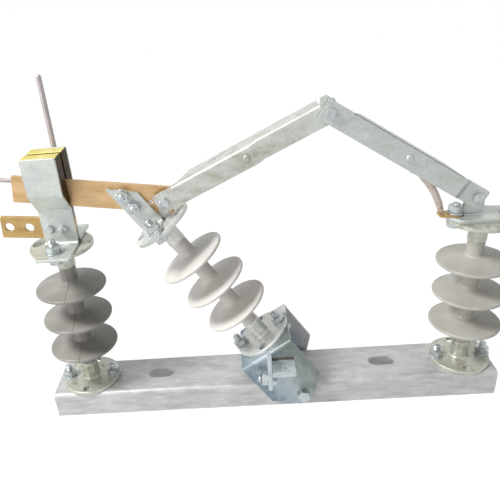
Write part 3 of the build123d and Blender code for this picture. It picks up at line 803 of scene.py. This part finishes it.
posts = {"left": JAW_POST, "right": HINGE_POST, "tilt": TILT_POST}
# The housings are one rubber, but each post gets its own tones: the left post's are darker, a painted
# shade, and the tilting post's paler, a painted light, for how the light falls on them.
SILICONE_LIT_AND_SHADED = {
    "left": (0, radians(4), "#6E6A64", [(0.3, "#8B8882"), (0.5, "#97948E"), (0.7, "#A4A19B")]),
    "right": (0, radians(80), "#A4A397", [(0.3, "#B4B2A9"), (0.5, "#BFBDB4"), (0.7, "#CAC8C0")]),
    "tilt": (LEAN, radians(80), "#B8B3AB", [(0.3, "#D6D2CB"), (0.5, "#DFDBD5"), (0.7, "#E7E4DF")]),
}
for post, foot in posts.items():
    silicone = moulded_silicone(post, foot, *SILICONE_LIT_AND_SHADED[post])
    fit(twin(housing), post + "_housing", silicone, post + "_insulator", foot)
    zinc = cleaner_flange_zinc if post == "tilt" else flange_zinc
    fit(twin(flange), post + "_foot_socket", zinc, post + "_bottom_flange", foot)
    fit(
        twin(flange), post + "_head_socket", zinc, post + "_top_flange",
        foot @ at(0, 0, POST_HEIGHT) @ UPSIDE_DOWN,
    )
bpy.data.objects.remove(housing)
bpy.data.objects.remove(flange)

# ---- fasteners -----------------------------------------------------------------------------------
chance = random.Random(12)


def hexagon(flats, height, both_sides):
    """A hexagon forging with 30-degree chamfers, on z 0."""
    corner = flats / 2 / cos(pi / 6)
    outside, bearing = corner + 0.5, 0.475 * flats
    drop = (outside - bearing) * tan(pi / 6)
    forging = bar("hexagon", corner, 0, height, 6)
    low = [(bearing, 0), (outside, drop)] if both_sides else [(outside, 0)]
    line = [(0, 0), *low, (outside, height - drop), (bearing, height), (0, height)]
    cut(forging, lathe("chamfer", line), "INTERSECT")
    ease(forging, 0.25, 1)
    return forging


def threaded(shank, pitch, low, high):
    """A threaded end from low to high, with a chamfered tip. Its ridges are rings."""
    root = shank / 2 - 0.6 * pitch
    line = [(0, low), (root, low)]
    level = low
    while level + pitch < high - 1:
        line += [(shank / 2, level + pitch / 2), (root, level + pitch)]
        level += pitch
    return lathe("thread", [*line, (root, high - 0.6), (root - 0.8, high), (0, high)], steps=24)


def washer(radius, bore):
    inner = radius - 0.4
    line = [
        (bore, 0), (inner, 0), (radius, 0.4),
        (radius, WASHER - 0.4), (inner, WASHER), (bore, WASHER), (bore, 0),
    ]
    return lathe("washer", line, steps=40)


shop = {
    size: (
        hexagon(size[1], size[2], False), hexagon(size[1], size[3], True), washer(size[5], size[0] / 2),
    )
    for size in (M8, M10, M12)
}


def bolt(size, grip, thread, washers=True):
    """A bolt on the bench: washer, nut and thread stand on z 0 and the head hangs below the grip."""
    shank, pitch = size[0], size[4]
    head, nut, ring = shop[size]
    lift = WASHER if washers else 0
    parts = [
        twin(nut, at(0, 0, lift) @ Matrix.Rotation(chance.uniform(0, pi / 3), 4, "Z")),
        twin(head, at(0, 0, -grip) @ UPSIDE_DOWN @ Matrix.Rotation(chance.uniform(0, pi / 3), 4, "Z")),
        bar("shank", shank / 2 - 0.2, -grip - 1, size[3], 24),
        threaded(shank, pitch, size[3], size[3] + max(thread, lift + 2 * pitch)),
    ]
    if washers:
        parts.append(twin(ring))
    return join(*parts)


def bolts(name, node, size, thread, *stacks, washers=True):
    """The bolts of one node, each with its grip and the place of its nut's seat."""
    ready = [move(bolt(size, grip, thread, washers), place) for grip, place in stacks]
    fit(join(*ready), name, fastener_zinc, node)


for post, foot in posts.items():
    grip = FLANGE_THICKNESS + CHANNEL_WALL
    bolts(
        post + "_foot_fasteners", post + "_base_bolts", M12, LONG_THREAD,
        (grip, foot @ at(-BOLT_REACH, 0, FLANGE_THICKNESS)),
        (grip, foot @ at(BOLT_REACH, 0, FLANGE_THICKNESS)),
    )
jaw_x = JAW_POST.to_translation().x
hinge_x = HINGE_POST.to_translation().x
cap_level = CHANNEL_HEIGHT + POST_HEIGHT
cap_v = BRACKET_TOP + POST_HEIGHT
grip = FLANGE_THICKNESS + STRIP_WALL
bolts(
    "jaw_foot_fasteners", "jaw_foot_bolts", M12, LONG_THREAD,
    (grip, at(jaw_x, -BOLT_REACH, cap_level + STRIP_WALL)),
    (grip, at(jaw_x, BOLT_REACH, cap_level + STRIP_WALL)),
)
grip = FLANGE_THICKNESS + CARRIER_WALL
bolts(
    "carrier_foot_fasteners", "carrier_foot_bolts", M12, LONG_THREAD,
    (grip, TILT @ at(BRACKET_MIDDLE, -BOLT_REACH, cap_v + CARRIER_WALL)),
    (grip, TILT @ at(BRACKET_MIDDLE, BOLT_REACH, cap_v + CARRIER_WALL)),
)
bolts(
    "carrier_clamp_fasteners", "carrier_bolts", M10, SHORT_THREAD,
    *[(2 * CARRIER_FACE, TILT @ at(u, -CARRIER_FACE, v) @ TO_FRONT) for u, v in CARRIER_BOLTS],
)
bolts(
    "jaw_clamp_fasteners", "jaw_clamp_bolts", M8, SHORT_THREAD,
    *[(2 * STRIP_FACE, PAD_BAR @ at(side * CLAMP_HALF, STRIP_FACE, 0) @ TO_REAR) for side in (-1, 1)],
)
plate_level = cap_level + HINGE_PLATE
bolts(
    "hinge_plate_fasteners", "hinge_plate_bolts", M12, SHORT_THREAD,
    (FLANGE_THICKNESS + HINGE_PLATE + LUG_WALL, at(hinge_x - BOLT_REACH, 0, plate_level + LUG_WALL)),
    (FLANGE_THICKNESS + HINGE_PLATE, at(hinge_x + BOLT_REACH, 0, plate_level)),
)
# Each pivot bolt stands 0.3 mm off the moving piece it holds. The nuts are at the rear.
for name, size, (x, z), rear, grip in (
    ("pivot", M12, PIVOT, CHEEK_FACE + 0.3, 2 * CHEEK_FACE + 0.6),
    ("knee", M8, KNEE, INNER_FACE + ARM_WALL + 0.3, 11.8),
    ("hinge", M8, HINGE, EAR_FACE, 11.6),
):
    stack = (grip, at(x, rear, z) @ TO_REAR)
    bolts(name + "_fastener", name + "_bolt", size, SHORT_THREAD, stack, washers=False)
drive_spot = at(GUSSET_LEFT, -70, 80) @ TO_LEFT
bolts("drive_fastener", "drive_bolt", M12, SHORT_THREAD, (GUSSET_WALL, drive_spot), washers=False)

# The bolt between the blade and the left arm is split: its head turns with the arm, its nut with the
# blade, which has a spacer in front of it.
head_spot = at(BLADE_PIVOT[0], OUTER_FACE, BLADE_PIVOT[1]) @ TO_FRONT
head = twin(shop[M8][0], head_spot)
stub = move(bar("stub", STEM_RADIUS, -ARM_WALL, 1, 24), head_spot)
fit(join(head, stub), "blade_pivot_head", fastener_zinc, "blade_pivot_bolt")
nut = twin(shop[M8][1])
spacer = lathe("spacer", [(0, -12.5), (7.6, -12.5), (8, -12.1), (8, -6.4), (7.6, -6), (0, -6)])
stem = bar("stem", STEM_RADIUS, -6, M8[3], 24)
tip = threaded(M8[0], M8[4], M8[3], M8[3] + SHORT_THREAD)
fit(
    join(nut, spacer, stem, tip), "blade_pivot_nut_set", fastener_zinc, "blade_pivot_nut",
    at(BLADE_PIVOT[0], BLADE_HALF, BLADE_PIVOT[1]) @ TO_REAR,
)
for parts in shop.values():
    for part in parts:
        bpy.data.objects.remove(part)

frame["nodes"]["pivot_spacers"].data.materials.clear()
frame["nodes"]["pivot_spacers"].data.materials.append(fastener_zinc)

# ---- tilting bracket -----------------------------------------------------------------------------
bracket_left, bracket_right = BRACKET_MIDDLE - BRACKET_HALF, BRACKET_MIDDLE + BRACKET_HALF
bracket = ribbon(
    "bracket",
    [
        (-CHEEK_FACE, -HEEL_DROP), (-CHEEK_FACE, BRACKET_TOP),
        (CHEEK_FACE, BRACKET_TOP), (CHEEK_FACE, -HEEL_DROP),
    ],
    6, bracket_left, bracket_right,
)
fall = SHOULDER + HEEL_DROP
with editing(bracket):
    slice_off((bracket_left, 0, SHOULDER), (-fall, 0, bracket_left + HEEL_HALF), fill=False)
    slice_off((bracket_right, 0, SHOULDER), (fall, 0, HEEL_HALF - bracket_right), fill=False)
    pick("VERT", lambda spot, way: spot.z < SHOULDER + 1)
    round_off(2.2, 4, "VERTICES")
thicken(bracket, BRACKET_WALL)
drill(bracket, 6.2, 80, TO_FRONT)
drill(bracket, 4, 80, at(PIN_PLACE[0], 0, PIN_PLACE[1]) @ TO_FRONT)
ease(bracket, 0.7)
fit(bracket, "bracket", bracket_zinc, "tilt_bracket", TILT)

lug_left = GUSSET_LEFT + GUSSET_WALL
lug = block("lug", (lug_left, LUG_FRONT, LUG_LOW), (35, -CHEEK_FACE, LUG_HIGH))
drill(lug, 4.5, 120, at(16, -76, 0))
ease(lug, 0.9)
fit(lug, "operating_lug", lug_zinc_painted_light, "drive_lug")

gusset = block("gusset", (GUSSET_LEFT, LUG_FRONT, 69), (lug_left, -CHEEK_FACE, 134))
with editing(gusset):
    slice_off((0, -CHEEK_FACE, 114), (0, 20, 33))
ease(gusset, 0.9)
fit(gusset, "operating_gusset", lug_zinc_painted_light, "drive_gusset")
toe = -CHEEK_FACE - 0.5
run = bead("lug_weld", (0, toe, LUG_HIGH), (35, toe, LUG_HIGH), 2.6)
fit(run, "lug_weld", rusty_weld, "drive_lug", stands_in=False)
run = bead("gusset_weld", (lug_left - 0.5, toe, 71), (lug_left - 0.5, toe, LUG_LOW - 1), 2)
fit(run, "gusset_weld", bright_weld, "drive_lug", stands_in=False)

# ---- blade and carriers --------------------------------------------------------------------------
carrier = ribbon(
    "carrier",
    [
        (-CARRIER_FACE - CARRIER_FOOT, CARRIER_WALL), (-CARRIER_FACE, CARRIER_WALL),
        (-CARRIER_FACE, CARRIER_TALL),
    ],
    2, CARRIER_LEFT, CARRIER_LEFT + CARRIER_WIDTH,
)
with editing(carrier):
    slice_off(
        (CARRIER_LEFT, 0, CARRIER_TALL), (CARRIER_TALL - CARRIER_SHORT, 0, CARRIER_WIDTH), fill=False
    )
    pick("VERT", lambda spot, way: spot.z > CARRIER_SHORT - 1)
    round_off(2, 3, "VERTICES")
    pick("VERT", lambda spot, way: spot.y < -CARRIER_FACE - CARRIER_FOOT + 1)
    round_off(3, 3, "VERTICES")
thicken(carrier, CARRIER_WALL)
ease(carrier, 0.6)
CAP = TILT @ at(0, 0, cap_v)
fit(mirrored(carrier), "rear_carrier", plate_zinc, "carrier_rear", CAP)
fit(carrier, "front_carrier", plate_zinc, "carrier_front", CAP)

jaw_middle = middle("jaw_front_strip")[0]
blade_reach = (BLADE_PIVOT[0] - jaw_middle + BLADE_PAST_JAW) / cos(BLADE_SLOPE)
blade = block(
    "blade", (-blade_reach, -BLADE_HALF, -BLADE_HALF_WIDTH), (BLADE_TAIL, BLADE_HALF, BLADE_HALF_WIDTH)
)
with editing(blade):
    pick("EDGE", lambda spot, way: abs(way.y) > 0.9)
    round_off(1.2, 2)
drill(blade, 3.25, 20, at(BLADE_HOLE[0], 0, BLADE_HOLE[1]) @ TO_FRONT)
ease(blade, 0.5)
fit(blade, "contact_blade", blade_alloy, "blade", BLADE_BAR)

tip_rod = lathe(
    "tip_rod",
    [(0, 0), (TIP_ROD_RADIUS, 0), (TIP_ROD_RADIUS, TIP_ROD_LENGTH), (0, TIP_ROD_LENGTH)],
    [(2, 2.7, 5)], steps=24,
)
fit(
    tip_rod, "moving_horn", rod_steel, "moving_arcing_horn",
    BLADE_BAR @ at(-blade_reach, 0, 12) @ TO_LEFT,
)

# ---- folding arms --------------------------------------------------------------------------------
def arm(name, length, corners, step, ledge, tapers):
    """An angle bar on the bench from its first pivot at x 0, with its web joggled back at step.

    Its ledge runs over ledge and narrows to the web over a taper at each end.
    """
    path = [(OUTER_FACE, -ARM_HALF), (OUTER_FACE, ARM_HALF), (LEDGE_BACK, ARM_HALF)]
    shape = ribbon(name, path, 0, -ARM_END, length + ARM_END)
    web_there = OUTER_FACE if ledge[1] < step[0] else INNER_FACE
    cuts = [
        (Vector((ledge[0], OUTER_FACE, 0)), Vector((LEDGE_BACK - OUTER_FACE, -tapers[0], 0)).normalized()),
        (Vector((ledge[1], web_there, 0)), Vector((web_there - LEDGE_BACK, -tapers[1], 0)).normalized()),
    ]
    with editing(shape):
        for place in (*step, ledge[0] - 1, ledge[1] + 0.01):
            score((place, 0, 0), (1, 0, 0))
        pick("VERT", lambda spot, way: spot.x > step[1] - 1 and spot.y < OUTER_FACE + 1)
        bpy.ops.transform.translate(value=(0, INNER_FACE - OUTER_FACE, 0))
        for point, inwards in cuts:
            score(point, inwards)
        pick(
            "FACE",
            lambda spot, way: abs(way.z) > 0.7
            and any((spot - point).dot(inwards) < 0 for point, inwards in cuts),
        )
        bpy.ops.mesh.delete(type="FACE")
        for place, size in ((-ARM_END, corners[0]), (length + ARM_END, corners[1])):
            pick("VERT", lambda spot, way: abs(spot.x - place) < 0.01)
            round_off(size, 6, "VERTICES")
        for place in (ledge[0] + 1, ledge[1] - 1):  # keeps the web flat beside the ledge's ends
            score((place, 0, 0), (1, 0, 0))
        score((0, 0, ARM_HALF - 6), (0, 0, 1))
    return shape


def finish_arm(shape, low, high):
    """Thickens an arm and rolls the edge between its web and its ledge, from low to high."""
    thicken(shape, ARM_WALL)
    with editing(shape):
        pick(
            "EDGE",
            lambda spot, way: low < spot.x < high and abs(spot.z - ARM_HALF) < 0.01
            and abs(way.x) > 0.8 and spot.y < INNER_FACE + 0.1,
        )
        round_off(4, 5)
    ease(shape, 0.6)
    return shape


left_ledge = (20, LEFT_LENGTH - TAB_HALF)
left_shape = arm("left_bar", LEFT_LENGTH, (4, 2), (144, 158), left_ledge, (28, 0))
with editing(left_shape):
    for side in (-TAB_HALF, TAB_HALF):
        score((LEFT_LENGTH + side, 0, 0), (1, 0, 0))
    pick("EDGE", lambda spot, way: spot.z > ARM_HALF - 0.1 and abs(spot.x - LEFT_LENGTH) < 1)
    pull((0, 0, 8), (0.5, 1, 1), (LEFT_LENGTH, 0, 0))
fit(finish_arm(left_shape, *left_ledge), "left_bar", left_bar_zinc, "left_arm", LEFT_BAR)

right_step = (RIGHT_LENGTH - 32, RIGHT_LENGTH - 23)
right_ledge = (28, RIGHT_LENGTH - 36)
right_shape = arm("right_bar", RIGHT_LENGTH, (2, 4), right_step, right_ledge, (20, 20))
fit(finish_arm(right_shape, *right_ledge), "right_bar", right_bar_zinc, "right_arm", RIGHT_BAR)


def rivet(grip):
    """A round-headed rivet on the bench, its head above z 0 and its button below the grip."""
    button = -grip - 1.5
    line = [(0, 3), (5.5, 3), (5.5, 0), (3.5, 0), (3.5, -grip), (5.5, -grip), (5.5, button), (0, button)]
    return lathe("rivet", line, [(1, 2.7, 7), (6, 0.8, 2)])


fit(
    rivet(ARM_WALL), "left_bar_rivet", left_bar_zinc, "left_arm_rivet",
    LEFT_BAR @ at(LEFT_RIVET, OUTER_FACE, 0) @ TO_FRONT,
)
fit(
    rivet(ARM_WALL + LUG_WALL), "right_bar_rivet", right_bar_zinc, "right_arm_rivet",
    RIGHT_BAR @ at(RIGHT_RIVET, OUTER_FACE, 0) @ TO_FRONT,
)

# ---- hinge on the right-hand post ----------------------------------------------------------------
plate = block(
    "plate",
    (hinge_x - PLATE_HALF, -PLATE_HALF_WIDTH, cap_level),
    (hinge_x + PLATE_HALF, PLATE_HALF_WIDTH, plate_level),
)
with editing(plate):
    pick("EDGE", lambda spot, way: abs(way.z) > 0.9)
    round_off(PLATE_HALF_WIDTH - 1, 14)
ease(plate, 0.8)
fit(plate, "hinge_base", plate_zinc, "hinge_plate")

ear = block(
    "ear",
    (HINGE[0] - EAR_HALF, -EAR_FACE, plate_level), (HINGE[0] + EAR_HALF, EAR_FACE, HINGE[1] + EAR_HALF),
)
with editing(ear):
    pick("EDGE", lambda spot, way: abs(way.y) > 0.9 and spot.z > HINGE[1])
    round_off(EAR_HALF - 0.01, 12)
    tidy()
ease(ear, 0.6)
fit(ear, "hinge_upright", plate_zinc, "hinge_ear")
reach = EAR_HALF - 0.5
for name, y in (("front_ear_weld", -EAR_FACE - 0.5), ("rear_ear_weld", EAR_FACE + 0.5)):
    run = bead(name, (HINGE[0] - reach, y, plate_level), (HINGE[0] + reach, y, plate_level), 2)
    fit(run, name, bright_weld, "hinge_ear", stands_in=False)

# ---- braid ---------------------------------------------------------------------------------------
rivet_x, _, rivet_z = (RIGHT_BAR @ at(RIGHT_RIVET, 0, 0)).to_translation()
lug_back = OUTER_FACE + ARM_WALL + LUG_WALL
arm_lug = block("arm_lug", (-LUG_HALF, lug_back - LUG_WALL, -LUG_HALF), (24, lug_back, LUG_HALF))
with editing(arm_lug):
    pick("EDGE", lambda spot, way: abs(way.y) > 0.9 and spot.x < 0)
    round_off(LUG_HALF - 0.01, 10)
    pick("EDGE", lambda spot, way: abs(way.y) > 0.9 and spot.x > 0)
    round_off(3, 3)
    tidy()
ease(arm_lug, 0.4)
fit(arm_lug, "braid_upper_lug", braid_copper, "braid_arm_lug", turned((rivet_x, rivet_z), LUG_CLIMB))

bolt_x = hinge_x - BOLT_REACH
post_lug = block(
    "post_lug",
    (bolt_x - 25, -LUG_HALF, plate_level), (bolt_x + LUG_HALF, LUG_HALF, plate_level + LUG_WALL),
)
with editing(post_lug):
    pick("EDGE", lambda spot, way: abs(way.z) > 0.9 and spot.x > bolt_x)
    round_off(LUG_HALF - 0.01, 10)
    pick("EDGE", lambda spot, way: abs(way.z) > 0.9 and spot.x < bolt_x)
    round_off(4, 3)
    tidy()
ease(post_lug, 0.4)
fit(post_lug, "braid_lower_lug", pad_alloy, "braid", stands_in=False)

# The braid is a flat woven tube along the CAD route, pinched where it enters its lugs.
# Each point of the route is x, y, z and the share of the full width there.
start_x = rivet_x + 21 * cos(LUG_CLIMB)
start_z = rivet_z + 21 * sin(LUG_CLIMB)
route = [
    (start_x, -4.3, start_z, 0.55), (start_x + 5, -4, start_z - 7, 1), (243, -4, 357, 1),
    (256, -2, 330, 1), (259, 0, 320, 0.9), (263, 0, 314.5, 0.55),
]
bpy.ops.curve.primitive_nurbs_circle_add(radius=1)
tube_section = bpy.context.active_object
tube_section.scale = (3, 5.4, 1)
bpy.ops.object.transform_apply()
braid_line = bpy.data.curves.new("braid_line", "CURVE")
braid_line.dimensions = "3D"
braid_line.resolution_u = 14
braid_line.bevel_mode = "OBJECT"
braid_line.bevel_object = tube_section
braid_line.use_fill_caps = True
spline = braid_line.splines.new("NURBS")
spline.points.add(len(route) - 1)
for point, (x, y, z, radius) in zip(spline.points, route):
    point.co = (x, y, z, 1)
    point.radius = radius
spline.order_u = 3
spline.use_endpoint_u = True
braid = bpy.data.objects.new("woven_braid", braid_line)
bpy.context.collection.objects.link(braid)
take_up(braid)
bpy.ops.object.convert(target="MESH")
braid = bpy.context.active_object
with editing(braid):
    tidy()
bpy.data.objects.remove(tube_section)
move(braid, Matrix.Scale(0.001, 4))
bpy.ops.object.shade_smooth_by_angle(angle=radians(60))
braid.name = "woven_braid"
braid.data.materials.append(braid_copper)
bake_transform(braid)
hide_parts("braid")

# ---- jaw -----------------------------------------------------------------------------------------
jaw_top = 1000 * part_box("jaw_front_strip")[1].z
waist = jaw_top - 85
shoulder = jaw_top - 55
foot_level = cap_level + STRIP_WALL
strip = ribbon(
    "strip",
    [
        (-STRIP_FACE - STRIP_FOOT, foot_level), (-STRIP_FACE, foot_level), (-STRIP_FACE, waist),
        (-STRIP_FACE - STRIP_SET, shoulder), (-STRIP_FACE - STRIP_SET, jaw_top),
    ],
    5, jaw_middle - STRIP_HALF, jaw_middle + STRIP_HALF,
)
with editing(strip):
    pick("VERT", lambda spot, way: spot.y < -STRIP_FACE - STRIP_FOOT + 1 or spot.z > jaw_top - 1)
    round_off(2.5, 3, "VERTICES")
thicken(strip, STRIP_WALL)
ease(strip, 0.6)
fit(mirrored(strip), "rear_jaw_strip", plate_zinc, "jaw_rear_strip")
fit(strip, "front_jaw_strip", plate_zinc, "jaw_front_strip")

slant = Vector((0, -STRIP_SET, shoulder - waist)).normalized()
slant_out = Vector((0, -slant.z, slant.y))
back_of_slant = Vector((0, -STRIP_FACE, waist)) - slant_out * STRIP_WALL
contact_front = STRIP_WALL - STRIP_FACE - STRIP_SET
contact = block(
    "contact",
    (jaw_middle - STRIP_HALF, contact_front, waist + 10), (jaw_middle + STRIP_HALF, -3.3, jaw_top),
)
with editing(contact):
    slice_off(back_of_slant, slant_out)
    pick("EDGE", lambda spot, way: abs(way.x) > 0.9 and spot.z > jaw_top - 1)
    round_off(2.5, 4)
ease(contact, 0.6)
fit(mirrored(contact), "rear_contact", contact_brass, "jaw_rear_contact")
fit(contact, "front_contact", contact_brass, "jaw_front_contact")

pad = block("pad", (PAD_LEFT, -PAD_FACE, -PAD_HALF_WIDTH), (PAD_RIGHT, PAD_FACE, PAD_HALF_WIDTH))
with editing(pad):
    pick("EDGE", lambda spot, way: abs(way.y) > 0.9)
    round_off(1.5, 2)
drill(pad, PAD_HOLE, 20, *[at(x, 0, 0) @ TO_FRONT for x in PAD_HOLES])
ease(pad, 0.5)
fit(pad, "line_terminal", pad_alloy, "terminal_pad", PAD_BAR)

horn_low, horn_high = (1000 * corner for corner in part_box("fixed_arcing_horn"))
horn_x, horn_y = (horn_low.x + horn_high.x) / 2, (horn_low.y + horn_high.y) / 2
horn = lathe(
    "horn",
    [(0, horn_low.z), (HORN_RADIUS, horn_low.z), (HORN_RADIUS, horn_high.z), (0, horn_high.z)],
    [(1, 1, 2), (2, 3.5, 5)], steps=32,
)
fit(horn, "fixed_horn", rod_steel, "fixed_arcing_horn", at(horn_x, horn_y, 0))
weld_y = STRIP_FACE + STRIP_SET + 0.5
for name, side in (("left_horn_weld", -1), ("right_horn_weld", 1)):
    weld_x = horn_x + side * (HORN_RADIUS - 0.5)
    run = bead(name, (weld_x, weld_y, HORN_WELD[0]), (weld_x, weld_y, HORN_WELD[1]), 1.8)
    fit(run, name, rusty_weld, "fixed_arcing_horn", stands_in=False)

# ---- floor, light and camera ---------------------------------------------------------------------
def seen_plainly(tree):
    """1 for rays from the camera and for those seen in metal or through glass, else 0."""
    sight = put(tree, "LightPath").outputs
    direct = put(
        tree, "Math", {0: sight["Is Camera Ray"], 1: sight["Is Glossy Ray"]}, operation="MAXIMUM"
    )
    either = put(
        tree, "Math", {0: direct.outputs[0], 1: sight["Is Transmission Ray"]}, operation="MAXIMUM"
    )
    return either.outputs[0]


bpy.ops.mesh.primitive_plane_add(size=9)
floor = bpy.context.active_object
floor.name = "floor"
paper = bpy.data.materials.new("white_paper")
paper.use_nodes = True
tree = paper.node_tree
tree.nodes.clear()
glow = put(tree, "Math", {0: seen_plainly(tree), 1: 0.88}, operation="MULTIPLY")
sheet = put(tree, "BsdfDiffuse", {"Color": tint("#F4F4F4")})
light = put(tree, "Emission", {"Color": tint("#FFFFFF"), "Strength": 1.12})
mixed = put(tree, "MixShader", {0: glow.outputs[0], 1: sheet.outputs[0], 2: light.outputs[0]})
put(tree, "OutputMaterial", {0: mixed.outputs[0]})
floor.data.materials.append(paper)

world = bpy.data.worlds.new("white_room")
bpy.context.scene.world = world
world.use_nodes = True
tree = world.node_tree
tree.nodes.clear()
level = put(tree, "MapRange", {0: seen_plainly(tree), 1: 0, 2: 1, 3: 0.27, 4: 1})
sky = put(tree, "Background", {"Color": tint("#FFFFFF"), "Strength": level.outputs[0]})
put(tree, "OutputWorld", {0: sky.outputs[0]})


def lamp(name, place, target, size, power):
    light = bpy.data.lights.new(name, "AREA")
    light.shape = "DISK"
    light.size = size
    light.energy = power
    holder = bpy.data.objects.new(name, light)
    holder.location = place
    holder.rotation_euler = (Vector(target) - Vector(place)).to_track_quat("-Z", "Y").to_euler()
    bpy.context.scene.collection.objects.link(holder)


lamp("key", (-1.3, -0.5, 1.9), (0, 0, 0.25), 0.6, 40)
lamp("fill", (-1.5, -1.4, 0.5), (0, 0, 0.25), 0.6, 7)

camera = bpy.data.objects.new("camera", bpy.data.cameras.new("camera"))
bpy.context.scene.collection.objects.link(camera)
bpy.context.scene.camera = camera
camera.data.sensor_width = 36
camera.data.lens = 37.95
camera.data.shift_x = 0.0562
camera.data.shift_y = 0.0056
camera.matrix_world = (
    Matrix.Translation((-0.0365, -0.7229, 0.6418))
    @ Matrix.Rotation(radians(2.46), 4, "Z")
    @ Matrix.Rotation(radians(90 - 27.08), 4, "X")
    @ Matrix.Rotation(radians(-4.77), 4, "Z")
)
bpy.context.scene.view_settings.view_transform = "Standard"
